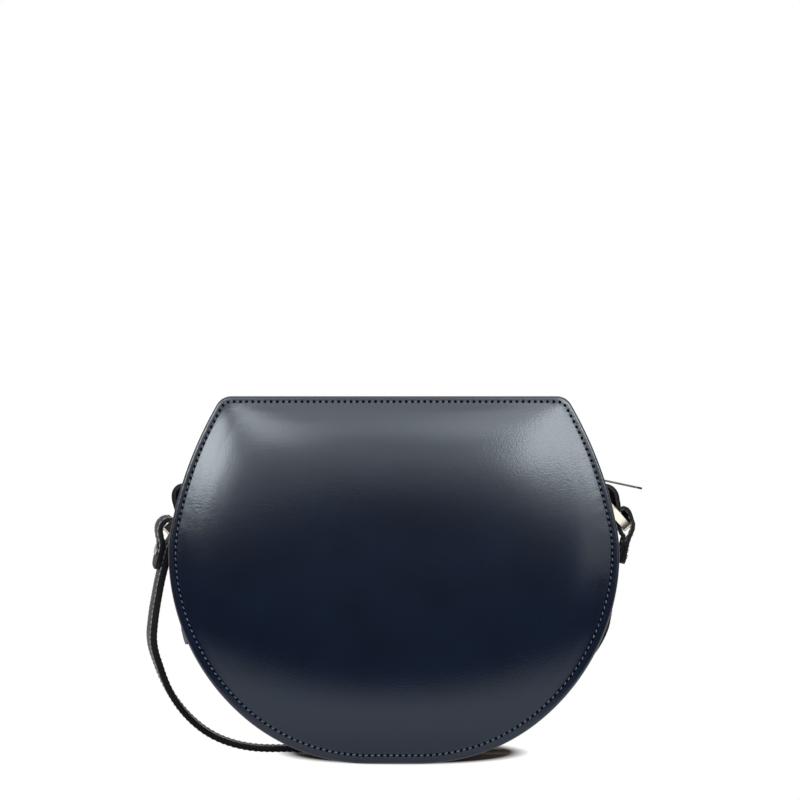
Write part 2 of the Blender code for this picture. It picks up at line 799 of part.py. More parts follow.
def frame_solid(outer, inner, low, high):
    """A flat frame between two outlines with equal numbers of points, each point X and Y."""
    shape = bmesh.new()
    loops = []
    for points, height in ((outer, low), (outer, high), (inner, high), (inner, low)):
        loops.append([shape.verts.new((p[0], p[1], height)) for p in points])
    count = len(outer)
    for k in range(4):
        one, other = loops[k], loops[(k + 1) % 4]
        for i in range(count):
            j = (i + 1) % count
            shape.faces.new((one[i], one[j], other[j], other[i]))
    return shape


def make_ring(name, right_side):
    """Rectangular ring sliced from tube, its origin on the inner bar."""
    half = RING_INNER_WIDTH / 2
    bar = RING_BAR / 2
    outer = rounded_rectangle(
        (-bar, -half - RING_BAR), (RING_LENGTH + bar, half + RING_BAR), RING_CORNER, 3
    )
    inner = rounded_rectangle((bar, -half), (RING_LENGTH - bar, half), RING_CORNER / 3, 3)
    shape = frame_solid(outer, inner, -RING_TALL / 2, RING_TALL / 2)
    made = finish(name, shape, material(name, NICKEL, 0.22, 1.0))
    pivot = ring_pivot(right_side)
    reach = ring_reach(right_side)
    made.location = (pivot[0], 0.0, pivot[1])
    made.rotation_euler = Euler((0.0, math.atan2(-reach[1], reach[0]), 0.0))
    return made


def ring_bar_centre(right_side):
    return ring_pivot(right_side) + ring_reach(right_side) * RING_LENGTH


SLIDER_TOP = TOOTH_TALL / 2 + FIT_GAP
PIVOT_UP = SLIDER_TOP + SLIDER_PLATE + FIT_GAP + PULLER_BAR
PIVOT_BACK = SLIDER_LONG / 2 - BAIL_RADIUS - BAIL_THICK / 2


def slider_frame():
    """Where the slider sits on the zip: the tape's middle point, and the lean of its normal."""
    point = np.array([np.interp(SLIDER_AT, ZIP_LENGTHS, ZIP_POINTS[:, i]) for i in range(2)])
    normal = np.array([np.interp(SLIDER_AT, ZIP_LENGTHS, ZIP_NORMALS[:, i]) for i in range(2)])
    return point, normal / np.linalg.norm(normal)


def slider_plate(low, high):
    """A plate of the slider between two heights: wide at the nose, narrower at the tail."""
    half = SLIDER_LONG / 2
    blunt = SLIDER_TAIL_HALF / 2
    points = (
        (-half, -blunt),
        (-half + blunt, -SLIDER_NOSE_HALF),
        (0.0, -SLIDER_NOSE_HALF),
        (half - blunt / 2, -SLIDER_TAIL_HALF),
        (half, -SLIDER_TAIL_HALF + blunt / 2),
    )
    points += tuple((along, -across) for along, across in reversed(points))
    return skin([[(up, across, along) for along, across in points] for up in (low, high)])


def make_slider():
    """Zip slider: two plates joined by a post at the nose, rims beside the chain, and a bail."""
    top = SLIDER_TOP
    outer = top + SLIDER_PLATE
    made = finish("zip_slider", slider_plate(top, outer), material("zip_slider", NICKEL, 0.25, 1.0))
    combine(made, cutter(slider_plate(-outer, -top), "slider_lower_plate"), "UNION")
    post_at = -SLIDER_LONG / 2 + SLIDER_POST_BACK
    sink = SLIDER_PLATE / 2
    radius = SLIDER_POST_RADIUS
    post = box(
        (-top - sink, -radius, post_at - radius),
        (top + sink, radius, post_at + radius),
    )
    combine(made, cutter(post, "slider_post"), "UNION")
    rim_clear = TAPE_THICK / 2 + FIT_GAP
    rim_inner = CHAIN_HALF + FIT_GAP
    rim_outer = SLIDER_TAIL_HALF
    rim_end = SLIDER_LONG / 2 - SLIDER_RIM
    for side in (-1.0, 1.0):
        for up in (-1.0, 1.0):
            heights = sorted((up * rim_clear, up * (top + sink)))
            depths = sorted((side * rim_inner, side * rim_outer))
            rim = box((heights[0], depths[0], -rim_end), (heights[1], depths[1], rim_end))
            combine(made, cutter(rim, f"slider_rim_{side:.0f}_{up:.0f}"), "UNION")
    start = (outer - sink, -PIVOT_BACK - BAIL_RADIUS)
    line = [np.array(start)]
    line += arc((PIVOT_UP, -PIVOT_BACK), BAIL_RADIUS, -90.0, 0.0, 4)
    line += arc((PIVOT_UP, PIVOT_BACK), BAIL_RADIUS, 0.0, 90.0, 4)
    line.append(np.array([start[0], -start[1]]))
    combine(made, cutter(strip_solid(line, BAIL_THICK, BAIL_WIDTH), "slider_bail"), "UNION")
    point, normal = slider_frame()
    made.location = (point[0], 0.0, point[1])
    made.rotation_euler = Euler((0.0, -math.atan2(normal[1], normal[0]), 0.0))
    for child in bpy.data.objects:
        if child.name.startswith("slider_"):
            child.location = made.location
            child.rotation_euler = made.rotation_euler
    return made


def puller_pivot():
    """Centre of the puller's cross bar, inside the lower end of the bail."""
    point, normal = slider_frame()
    tangent = np.array([-normal[1], normal[0]])
    return point + normal * PIVOT_UP - tangent * PIVOT_BACK


def make_puller():
    """Flat metal puller with a long eye round the bail, its origin on the cross bar."""
    half = PULLER_THICK / 2
    eye = PULLER_EYE_LENGTH
    outer = (
        (-PULLER_BAR, -PULLER_NECK_WIDTH / 2 + PULLER_BAR),
        (PULLER_BAR, -PULLER_NECK_WIDTH / 2),
        (eye, -PULLER_WIDTH / 2),
        (PULLER_LENGTH - PULLER_BAR * 4, -PULLER_TIP_WIDTH / 2),
        (PULLER_LENGTH, -PULLER_TIP_WIDTH / 2 + PULLER_BAR * 2),
    )
    outer += tuple((along, -across) for along, across in reversed(outer))
    inner_half = PULLER_EYE_WIDTH / 2
    inner = (
        (PULLER_BAR, -inner_half / 2),
        (PULLER_BAR * 2, -inner_half),
        (eye - PULLER_BAR * 2, -inner_half),
        (eye - PULLER_BAR / 2, -inner_half + PULLER_BAR),
        (eye, -inner_half / 3),
    )
    inner += tuple((along, -across) for along, across in reversed(inner))
    shape = frame_solid(outer, inner, -half, half)
    made = finish("zip_puller", shape, material("zip_puller", NICKEL, 0.25, 1.0), smooth=False)
    pivot = puller_pivot()
    made.location = (pivot[0], 0.0, pivot[1])
    made.rotation_euler = Euler((0.0, math.radians(PULLER_DROP_DEGREES), 0.0))
    return made


def smooth_line(points, step):
    """A smooth curve through points in space, at nearly equal steps."""
    points = np.asarray(points, float)
    gaps = np.sqrt(np.linalg.norm(np.diff(points, axis=0), axis=1))
    knots = np.concatenate([[0.0], np.cumsum(gaps)])
    slopes = np.gradient(points, knots, axis=0)
    dense = []
    for i in range(len(points) - 1):
        width = knots[i + 1] - knots[i]
        for t in np.linspace(0.0, 1.0, ARC_STEPS, endpoint=False):
            a = (1 + 2 * t) * (1 - t) ** 2
            b = t * (1 - t) ** 2
            c = t * t * (3 - 2 * t)
            d = t * t * (t - 1)
            dense.append(
                a * points[i] + b * width * slopes[i] + c * points[i + 1] + d * width * slopes[i + 1]
            )
    dense.append(points[-1])
    return resampled(np.array(dense), step)


def resampled(line, step):
    steps = np.linalg.norm(np.diff(line, axis=0), axis=1)
    lengths = np.concatenate([[0.0], np.cumsum(steps)])
    count = max(2, round(lengths[-1] / step) + 1)
    at = np.linspace(0.0, lengths[-1], count)
    return np.stack([np.interp(at, lengths, line[:, i]) for i in range(3)], axis=1)


def line_length(line):
    return float(np.linalg.norm(np.diff(line, axis=0), axis=1).sum())


def strap_frames(line, turn=0.0):
    """Unit tangents, flat-side normals and width directions; the width stays near the bag's depth.

    A turn, in radians about the vertical, swings the width of the hanging stretches round.
    """
    tangents = np.gradient(line, axis=0)
    tangents /= np.linalg.norm(tangents, axis=1)[:, None]
    turn = np.broadcast_to(turn, len(line))
    width = np.stack([-np.sin(turn), np.cos(turn), turn * 0.0], axis=1)
    width -= tangents * (tangents * width).sum(axis=1)[:, None]
    width /= np.linalg.norm(width, axis=1)[:, None]
    return tangents, np.cross(width, tangents), width


def left_turn(line):
    """The long strap's turn: whole below the left ring, none at its bar and none near the ground."""
    bar = ring_bar_centre(False)[1]
    fade = np.clip(line[:, 2] / bar * 2 - 0.5, 0.0, 1.0)
    fade *= np.clip((bar - line[:, 2]) / FOLD_REACH - 0.5, 0.0, 1.0)
    hanging = (line[:, 0] < 0.0) & (line[:, 1] < BAG_DEPTH / 6)
    return np.where(hanging, math.radians(LEFT_TURN_DEGREES), 0.0) * fade


def strap_solid(line, thick, width, turn=0.0):
    """A flat strap along a line in space; thick, width and turn may vary along it."""
    _, normals, widths = strap_frames(line, turn)
    thick = np.broadcast_to(thick, len(line))
    width = np.broadcast_to(width, len(line))
    rings = []
    for at, normal, across, t, w in zip(line, normals, widths, thick, width):
        rings.append(
            [
                at + normal * t / 2 - across * w / 2,
                at + normal * t / 2 + across * w / 2,
                at - normal * t / 2 + across * w / 2,
                at - normal * t / 2 - across * w / 2,
            ]
        )
    return skin(rings)


def route(shares, right_side):
    """Route points at real size; the one nearest the ring keeps its drop below the ring's outer bar."""
    points = np.array(shares) * np.array([BAG_WIDTH / 2, BAG_DEPTH, BAG_HEIGHT])
    top = points[-1 if right_side else 0][2]
    drop = RIGHT_LEG_DROP if right_side else LEFT_LEG_DROP
    points[:, 2] *= (ring_bar_centre(right_side)[1] - drop) / top
    return points


def fold_points(right_side):
    """The strap's middle line round the ring's outer bar, from the inner leg to the tail."""
    bar = ring_bar_centre(right_side)
    shares = RIGHT_FOLD_SHARES if right_side else LEFT_FOLD_SHARES
    side = 1.0 if right_side else -1.0
    return np.array([(bar[0] + side * x * FOLD_REACH, 0.0, bar[1] + z * FOLD_REACH) for x, z in shares])


def tail_count(right_side):
    """How many steps long the tail of the folded end is."""
    return round((RIGHT_FOLD_TAIL if right_side else LEFT_FOLD_TAIL) / FOLD_STEP)


def folded_end(body, right_side):
    """The whole folded end: the tail beside the body, round the bar, and down to the body's line."""
    fine = resampled(body, FOLD_STEP)
    _, normals, _ = strap_frames(fine)
    outward = normals * (1.0 if (normals[0][0] > 0) == right_side else -1.0)
    count = tail_count(right_side)
    tail = fine[:count] + outward[:count] * (STRAP_THICK + FIT_GAP * 1.5)
    fold = fold_points(right_side)[::-1]
    return tail[::-1], fold


def joined_strap(body, right_side):
    """Middle line and thickness from the tail, round the ring, and along the body."""
    tail, fold = folded_end(body, right_side)
    beside = resampled(body, FOLD_STEP)[: len(tail) + FOLD_OVERLAP_STEPS]
    runs = np.concatenate([[0.0], np.cumsum(np.linalg.norm(np.diff(body, axis=0), axis=1))])
    rest = body[runs > line_length(beside) + STRAP_STEP / 2]
    guide = np.vstack([tail[-2:], fold, beside[:2]])
    bend = smooth_line(guide, FOLD_STEP)
    line = np.vstack([tail[:-2], bend, beside[2:], rest])
    lengths = np.concatenate([[0.0], np.cumsum(np.linalg.norm(np.diff(line, axis=0), axis=1))])
    start = line_length(tail)
    end = start + line_length(np.vstack([tail[-1], fold, body[0]]))
    ease = STRAP_THICK
    folded = RIGHT_FOLD_THICK if right_side else LEFT_FOLD_THICK
    thick = np.interp(
        lengths,
        [start - ease, start + ease, end - ease, end + ease],
        [STRAP_THICK, folded, folded, STRAP_THICK],
    )
    return line, thick


SHORT_BODY = smooth_line(route(SHORT_ROUTE_SHARES, True), STRAP_STEP)
LONG_BODY = smooth_line(route(LONG_ROUTE_SHARES, False), STRAP_STEP)
LONG_BODY[:, 2] = np.maximum(LONG_BODY[:, 2], STRAP_THICK / 2 + FIT_GAP)
SHORT_BODY[:, 2] = np.maximum(SHORT_BODY[:, 2], STRAP_THICK * 3 / 2 + FIT_GAP * 3)


def buckle_frame_axes():
    """Place and axes at the buckle's bar: along towards the tail, out from the turn, and across."""
    start = SHORT_BODY[0]
    along = SHORT_BODY[1] - SHORT_BODY[0]
    along[1] = 0.0
    along /= np.linalg.norm(along)
    out = np.array([along[2], 0.0, -along[0]])
    return start, along, out


def turn_to(first, second):
    """The turn that takes local X to the first direction and local Y to the second."""
    return Matrix((first, second, np.cross(first, second))).transposed().to_euler()


def buckle_matrix():
    """Turns local X along the strap, local Z out of the turn, and local Y across."""
    start, along, out = buckle_frame_axes()
    return Vector(start), turn_to(along, np.cross(out, along))


PRONG_REST = BUCKLE_WIRE / 2 + FIT_GAP + PRONG_THICK / 2
BAR_CLEAR = BUCKLE_WIRE / 2 + FIT_GAP + STRAP_THICK / 2
OVER_BAR = BUCKLE_EYE_RADIUS + BUCKLE_EYE_THICK + FIT_GAP * 3 + STRAP_THICK / 2
LAYER_RISE = STRAP_THICK + FIT_GAP


def tail_line():
    """Middle line of the tail lying on the short strap, from the buckle to the tip."""
    fine = resampled(SHORT_BODY, FOLD_STEP)
    _, normals, _ = strap_frames(fine)
    _, along, out = buckle_frame_axes()
    outward = normals * (1.0 if normals[0] @ out > 0 else -1.0)
    lengths = np.concatenate([[0.0], np.cumsum(np.linalg.norm(np.diff(fine, axis=0), axis=1))])
    keep = (lengths > BUCKLE_LENGTH) & (lengths <= TAIL_LENGTH)
    return (fine + outward * LAYER_RISE)[keep]


def long_strap_line():
    """From the left ring along the ground, up and over, through the buckle and down to the tip."""
    start, along, out = buckle_frame_axes()
    local = (
        (-BUCKLE_LENGTH * 2.2, -BAR_CLEAR / 2),
        (-BUCKLE_LENGTH * 1.4, -BAR_CLEAR * 1.1),
        (-BUCKLE_LENGTH, -BAR_CLEAR * 1.15),
        (-BUCKLE_LENGTH / 2, OVER_BAR / 8),
        (0.0, OVER_BAR),
        (BUCKLE_LENGTH / 2, OVER_BAR),
    )
    crossing = np.array([start + along * a + out * b for a, b in local])
    tail = resampled(tail_line(), STRAP_STEP / 2)
    guide = np.vstack([LONG_BODY[-3:], crossing, tail])
    bend = smooth_line(guide, STRAP_STEP / 2)
    body = np.vstack([LONG_BODY[:-3], bend])
    return joined_strap(body, False)


def make_long_strap():
    """Strap with the tip: riveted to the left ring, punched with holes near its tip."""
    line, thick = long_strap_line()
    width = np.full(len(line), STRAP_WIDTH)
    width[-1] = STRAP_WIDTH - 2 * STRAP_TIP_CHAMFER
    name = "strap_long"
    shape = strap_solid(line, thick, width, left_turn(line))
    made = finish(name, shape, material(name, STRAP_NAVY, 0.42, 0.0))
    print("strap_long length", round(line_length(line), 4))
    _, normals, widths = strap_frames(line)
    lengths = np.concatenate([[0.0], np.cumsum(np.linalg.norm(np.diff(line, axis=0), axis=1))])
    start, along, out = buckle_frame_axes()
    heights = (line - start) @ out
    runs = (line - start) @ along
    near = (np.abs(runs) < BUCKLE_LENGTH / 2) & (np.arange(len(line)) > len(line) // 2)
    crossing = np.where(near, np.abs(heights - PRONG_REST), BAG_WIDTH).argmin()
    for number in range(HOLE_COUNT):
        at = lengths[crossing] + (number - HOLE_COUNT // 2) * HOLE_PITCH
        centre = np.array([np.interp(at, lengths, line[:, i]) for i in range(3)])
        normal = np.array([np.interp(at, lengths, normals[:, i]) for i in range(3)])
        across = np.array([np.interp(at, lengths, widths[:, i]) for i in range(3)])
        deep = STRAP_THICK
        if number == HOLE_COUNT // 2:
            wide, long = PRONG_SLOT / 2, PRONG_SLOT_LONG / 2
            pin = box((-deep, -wide, -long), (deep, wide, long))
        else:
            pin = turned(((-deep, HOLE_RADIUS), (deep, HOLE_RADIUS)), 10, "X")
        tool = cutter(pin, f"strap_hole_{number}")
        tool.location = centre
        tool.rotation_euler = turn_to(normal, across)
        combine(made, tool, "DIFFERENCE")
    punch_rivet(made, line, False)
    return made


def rivet_place(line, right_side):
    """Where the rivet crosses both legs: middle between them, and the direction outwards."""
    tail = line[: tail_count(right_side) - 1]
    lengths = np.concatenate([[0.0], np.cumsum(np.linalg.norm(np.diff(tail, axis=0), axis=1))])
    _, normals, _ = strap_frames(tail, 0.0 if right_side else left_turn(tail))
    at = RIGHT_RIVET_RISE if right_side else LEFT_RIVET_RISE
    centre = np.array([np.interp(at, lengths, tail[:, i]) for i in range(3)])
    normal = np.array([np.interp(at, lengths, normals[:, i]) for i in range(3)])
    side = 1.0 if right_side else -1.0
    if normal[0] * side < 0:
        normal = -normal
    return centre - normal * (STRAP_THICK + FIT_GAP * 1.5) / 2, normal


def punch_rivet(made, line, right_side):
    """Cut the rivet's hole through both legs of the folded end."""
    centre, normal = rivet_place(line, right_side)
    reach = STRAP_THICK * 2
    radius = RIVET_SHANK_RADIUS + FIT_GAP
    tool = cutter(turned(((-reach, radius), (reach, radius)), RIVET_SIDES, "X"), f"{made.name}_punch")
    tool.location = centre
    tool.rotation_euler = Vector(normal).to_track_quat("X", "Y").to_euler()
    combine(made, tool, "DIFFERENCE")


def make_rivet(name, line, right_side):
    """Metal rivet: a domed head, outside on the left and inside on the right, and a flat back."""
    centre, normal = rivet_place(line, right_side)
    if right_side:
        normal = -normal
    legs = STRAP_THICK + FIT_GAP * 2
    head, back = RIVET_HEAD_RADIUS, RIVET_BACK_RADIUS
    profile = (
        (-legs - RIVET_BACK_PROUD, back * 0.8),
        (-legs - RIVET_BACK_PROUD / 2, back),
        (-legs, back),
        (-legs, RIVET_SHANK_RADIUS),
        (legs, RIVET_SHANK_RADIUS),
        (legs, head),
        (legs + RIVET_HEAD_PROUD / 2, head),
        (legs + RIVET_HEAD_PROUD * 0.85, head * 0.7),
        (legs + RIVET_HEAD_PROUD, head * 0.35),
    )
    made = finish(name, turned(profile, RIVET_SIDES, "X"), material(name, NICKEL, 0.25, 1.0))
    made.location = centre
    made.rotation_euler = Vector(normal).to_track_quat("X", "Y").to_euler()
    return made


def make_short_strap():
    """Strap with the buckle: riveted to the right ring, its other end folded round the bar."""
    body = SHORT_BODY[::-1]
    line, thick = joined_strap(body, True)
    name = "strap_short"
    made = finish(name, strap_solid(line, thick, STRAP_WIDTH), material(name, STRAP_NAVY, 0.42, 0.0))
    print("strap_short length", round(line_length(line), 4))
    start, turn = buckle_matrix()
    outer = BUCKLE_EYE_RADIUS + BUCKLE_EYE_THICK
    half = STRAP_WIDTH / 2
    sink = STRAP_THICK
    tools = (
        (turned(((-half, outer), (half, outer)), 16, "Y"), "UNION", "eye_wrap"),
        (
            turned(((-half - sink, BUCKLE_EYE_RADIUS), (half + sink, BUCKLE_EYE_RADIUS)), 12, "Y"),
            "DIFFERENCE",
            "eye_bore",
        ),
        (
            box(
                (-outer - sink, -PRONG_SLOT / 2, -outer - sink),
                (outer + sink, PRONG_SLOT / 2, outer + sink),
            ),
            "DIFFERENCE",
            "eye_slot",
        ),
    )
    for shape, operation, label in tools:
        tool = cutter(shape, label)
        tool.location = start
        tool.rotation_euler = turn
        combine(made, tool, operation)
    punch_rivet(made, line, True)
    return made


def make_buckle():
    """Rectangular buckle frame, its bar in the short strap's eye."""
    start, turn = buckle_matrix()
    wire = BUCKLE_WIRE
    half = BUCKLE_INNER_WIDTH / 2
    outer = rounded_rectangle(
        (-BUCKLE_LENGTH - wire / 2, -half - wire), (wire / 2, half + wire), BUCKLE_CORNER, 3
    )
    inner = rounded_rectangle(
        (-BUCKLE_LENGTH + wire / 2, -half), (-wire / 2, half), BUCKLE_CORNER / 3, 3
    )
    shape = frame_solid(outer, inner, -wire / 2, wire / 2)
    made = finish("buckle_frame", shape, material("buckle_frame", NICKEL, 0.22, 1.0))
    made.location = start
    made.rotation_euler = turn
    return made


def make_prong():
    """Buckle prong: a hook over the bar and a tongue through the strap's hole to the far bar."""
    start, turn = buckle_matrix()
    inner = BUCKLE_WIRE * math.sqrt(0.5) + FIT_GAP / 2
    middle = inner + PRONG_THICK / 2
    line = arc((0.0, 0.0), middle, -80.0, 70.0, 8)
    line.append(np.array([-BUCKLE_LENGTH / 3, middle * 0.9]))
    line.append(np.array([-BUCKLE_LENGTH * 0.75, PRONG_REST]))
    line.append(np.array([-BUCKLE_LENGTH - BUCKLE_WIRE / 2, PRONG_REST]))
    made = finish(
        "buckle_prong",
        strip_solid(line, PRONG_THICK, PRONG_WIDE),
        material("buckle_prong", NICKEL, 0.22, 1.0),
    )
    made.location = start
    made.rotation_euler = turn
    return made


def make_keeper(name, along_strap):
    """Leather band round the short strap and the tail that lies on it."""
    lengths = np.concatenate([[0.0], np.cumsum(np.linalg.norm(np.diff(SHORT_BODY, axis=0), axis=1))])
    at = BUCKLE_EYE_RADIUS + BUCKLE_EYE_THICK + along_strap
    ends = [
        np.array([np.interp(at + step, lengths, SHORT_BODY[:, i]) for i in range(3)])
        for step in (-KEEPER_WIDTH / 2, KEEPER_WIDTH / 2)
    ]
    along = ends[1] - ends[0]
    along /= np.linalg.norm(along)
    across = np.array([0.0, 1.0, 0.0]) - along * along[1]
    across /= np.linalg.norm(across)
    out = np.cross(along, across)
    _, _, buckle_out = buckle_frame_axes()
    if out @ buckle_out < 0:
        out, across = -out, -across
    slack = KEEPER_SLACK
    low = (-STRAP_THICK / 2 - slack, -STRAP_WIDTH / 2 - slack)
    high = (STRAP_THICK / 2 + LAYER_RISE + slack, STRAP_WIDTH / 2 + slack)
    outer_low = (low[0] - KEEPER_THICK, low[1] - KEEPER_THICK)
    outer_high = (high[0] + KEEPER_THICK, high[1] + KEEPER_THICK)
    outer = rounded_rectangle(outer_low, outer_high, KEEPER_THICK, 2)
    inner = rounded_rectangle(low, high, KEEPER_THICK / 4, 2)
    shape = frame_solid(outer, inner, -KEEPER_WIDTH / 2, KEEPER_WIDTH / 2)
    made = finish(name, shape, material(name, STRAP_NAVY, 0.42, 0.0))
    made.location = (ends[0] + ends[1]) / 2
    made.rotation_euler = turn_to(out, across)
    return made


def make_pocket():
    """Flat pocket piece sewn on the back lining, open at its top edge."""
    columns, rows = POCKET_STEPS
    outer, inner = [], []
    half = BAG_DEPTH / 2
    near = half - INSIDE_DEPTH - FIT_GAP
    shape = bmesh.new()
    for row in range(rows + 1):
        for column in range(columns + 1):
            x = POCKET_WIDTH * (column / columns - 0.5)
            z = POCKET_BASE + POCKET_HEIGHT * row / rows
            bulge = float(inner_dome_at([(x, z)])[0])
            outer.append(shape.verts.new((x, near + bulge - POCKET_THICK, z)))
            inner.append(shape.verts.new((x, near + bulge, z)))
    width = columns + 1
    for row in range(rows):
        for column in range(columns):
            i = row * width + column
            for sheet in (outer, inner):
                shape.faces.new((sheet[i], sheet[i + 1], sheet[i + width + 1], sheet[i + width]))
    bottom = list(range(width))
    top = [rows * width + i for i in range(width)]
    left = [i * width for i in range(rows + 1)]
    right = [i * width + columns for i in range(rows + 1)]
    for rim in (bottom, top, left, right):
        for i, j in zip(rim, rim[1:]):
            shape.faces.new((outer[i], outer[j], inner[j], inner[i]))
    return finish("inner_pocket", shape, material("inner_pocket", LINING_BLUE, 0.9, 0.0))


def build():
    make_panel("front_panel", True, NAVY)
    make_panel("back_panel", False, NAVY)
    make_board("front_board", True)
    make_board("back_board", False)
    make_lining("front_lining", True)
    make_lining("back_lining", False)
    make_gusset()
    layer = WALL_INSET + GUSSET_THICK + FIT_GAP
    make_gusset_layer("gusset_board", layer, BOARD_THICK, BOARD_GREY)
    make_gusset_layer("gusset_lining", layer + BOARD_THICK + FIT_GAP, LINING_THICK, LINING_BLUE)
    make_zip_facing("front_zip_facing", True)
    make_zip_facing("back_zip_facing", False)
    make_tape("front_zip_tape", True)
    make_tape("back_zip_tape", False)
    make_teeth("front_zip_teeth", True)
    make_teeth("back_zip_teeth", False)
    make_stop("front_zip_stop", True, STOP_START)
    make_stop("back_zip_stop", False, STOP_START)
    make_end_stop()
    make_slider()
    make_puller()
    make_side_loop("left_side_loop", False)
    make_side_loop("right_side_loop", True)
    make_ring("left_ring", False)
    make_ring("right_ring", True)
    make_long_strap()
    make_short_strap()
    long_line, _ = long_strap_line()
    short_line, _ = joined_strap(SHORT_BODY[::-1], True)
    make_rivet("left_rivet", long_line, False)
    make_rivet("right_rivet", short_line, True)
    make_buckle()
    make_prong()
    make_keeper("fixed_keeper", KEEPER_PLACES[0])
    make_keeper("sliding_keeper", KEEPER_PLACES[1])
    make_pocket()


clear_scene()
ROOT = bpy.data.objects.new("bag_middle", None)
bpy.context.collection.objects.link(ROOT)
ROOT.location = (0.0, -FOOTPRINT_BACK_SHIFT, 0.0)
build()
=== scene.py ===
# %% [markdown]
# # A half moon bag, dressed for its portrait
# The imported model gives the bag's solids, its joints and its size. This lesson keeps that frame and
# gives each piece the surface that the real one shows: domed leather panels with a stitched rim, a
# zip over the top, metal rings at the sides and a long stitched strap. Each surface is worked out
# with numpy as a whole array of points and then handed to a mesh.

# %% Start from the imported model
import json
import math

import bmesh
import bpy
import numpy as np
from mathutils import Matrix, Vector


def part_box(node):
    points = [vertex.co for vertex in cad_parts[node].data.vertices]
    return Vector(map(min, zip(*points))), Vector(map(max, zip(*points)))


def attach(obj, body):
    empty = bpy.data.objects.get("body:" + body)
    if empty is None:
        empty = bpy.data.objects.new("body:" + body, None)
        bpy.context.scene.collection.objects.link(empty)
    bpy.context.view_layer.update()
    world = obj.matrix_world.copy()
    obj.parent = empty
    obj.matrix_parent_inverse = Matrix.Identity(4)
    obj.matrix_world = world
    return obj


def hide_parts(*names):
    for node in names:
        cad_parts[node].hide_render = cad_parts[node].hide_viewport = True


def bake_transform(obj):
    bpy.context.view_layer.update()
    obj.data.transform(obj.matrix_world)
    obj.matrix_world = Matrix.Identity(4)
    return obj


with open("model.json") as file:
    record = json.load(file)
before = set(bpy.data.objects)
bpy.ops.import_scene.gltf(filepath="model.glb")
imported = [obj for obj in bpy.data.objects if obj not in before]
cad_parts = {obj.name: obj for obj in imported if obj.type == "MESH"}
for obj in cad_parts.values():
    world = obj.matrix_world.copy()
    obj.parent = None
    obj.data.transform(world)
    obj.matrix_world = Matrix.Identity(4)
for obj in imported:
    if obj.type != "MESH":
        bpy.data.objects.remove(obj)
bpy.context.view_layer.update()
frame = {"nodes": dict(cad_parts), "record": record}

pivots = {j["name"]: np.array(j["pos_m"]) for j in frame["record"]["behaviour"]["joints"]}

# %% [markdown]
# ## The bag's sizes
# The outline is a short flat rest and five tangent arcs, drawn for a half width of one and then
# stretched to the real width and height. Everything else hangs on that curve, so it comes first.
# All lengths are metres.

# %% Sizes shared by the pieces
BAG_WIDTH, BAG_HEIGHT, BAG_DEPTH = 0.200, 0.163, 0.065
HALF_DEPTH = BAG_DEPTH / 2
MIDDLE_Y = float(pivots["left_ring_swing"][1])
PANEL_CORNER, WALL_CORNER, LEAST_CORNER = 0.0075, 0.0210, 0.0006
PANEL_THICK, WALL_INSET, WALL_THICK, GAP = 0.0020, 0.0070, 0.0014, 0.0003
REST_SHARE, HEIGHT_SHARE, CENTRE_SHARE = 0.109, 1.63, 0.52
ARC_SHARES = ((0.863, 10.0), (0.850, 29.5), (0.957, 47.5), (0.718, 14.5), (1.765, 22.0))
ARC_STEPS = 60
SEAM_HEIGHT, LOOP_THICK = 0.1235, 0.0021
# The straps, loops and bars all lie across the bag's depth
ACROSS = np.array([0.0, 1.0, 0.0])


# %% Lengths along a line, and directions
def run_lengths(line):
    """How far along a line each of its points lies: a running sum of the steps between them."""
    return np.concatenate([[0.0], np.cumsum(np.linalg.norm(np.diff(line, axis=0), axis=1))])


def unit(vectors):
    """The same directions with a length of one: each vector is divided by its own length."""
    return vectors / np.linalg.norm(vectors, axis=-1, keepdims=True)


# %% The outline as a measured track
def outline_track():
    """Half outline from the bottom centre: lengths, points and outward normals.

    Each arc continues the last one's heading: a point is centre + radius * (sin a, -cos a), with the
    angle a running on from arc to arc, and the normal is (sin a, -cos a) itself.
    """
    points = [np.array([[0.0, 0.0], [REST_SHARE, 0.0]])]
    normals = [np.array([[0.0, -1.0]] * 2)]
    heading = 0.0
    for radius, degrees in ARC_SHARES:
        angles = heading + math.radians(degrees) * np.arange(1, ARC_STEPS + 1) / ARC_STEPS
        out = np.stack([np.sin(angles), -np.cos(angles)], axis=1)
        centre = points[-1][-1] - radius * np.array([math.sin(heading), -math.cos(heading)])
        points.append(centre + radius * out)
        normals.append(out)
        heading = angles[-1]
    points, normals = np.vstack(points), np.vstack(normals)
    stretch = np.array([BAG_WIDTH / 2 / points[:, 0].max(), BAG_HEIGHT / HEIGHT_SHARE])
    points = points * stretch
    return run_lengths(points), points, unit(normals / stretch)


TRACK_LENGTHS, TRACK_POINTS, TRACK_NORMALS = outline_track()


def on_track(lengths, inset=0.0):
    """Points at lengths along the half outline, moved inwards along the normal by the inset."""
    point = np.stack([np.interp(lengths, TRACK_LENGTHS, TRACK_POINTS[:, i]) for i in range(2)], axis=-1)
    normal = np.stack([np.interp(lengths, TRACK_LENGTHS, TRACK_NORMALS[:, i]) for i in range(2)], axis=-1)
    normal = unit(normal)
    return point - inset * normal, normal


def length_at_height(height):
    """How far along the half outline a height lies, read off the track's heights."""
    return float(np.interp(height, TRACK_POINTS[:, 1], TRACK_LENGTHS))


def corner_of(inset, corner):
    """Where a ring at this inset leaves the side: its length, fillet centre, radius and start angle."""
    radius = max(corner - inset, LEAST_CORNER)
    centres = TRACK_POINTS - (inset + radius) * TRACK_NORMALS
    upper = len(centres) // 2
    length = float(np.interp(BAG_HEIGHT - inset - radius, centres[upper:, 1], TRACK_LENGTHS[upper:]))
    centre, normal = on_track(np.array([length]), inset + radius)
    return length, centre[0], radius, math.atan2(normal[0, 1], normal[0, 0])


SIDE_COUNT, CORNER_COUNT, TOP_COUNT = 150, 12, 52


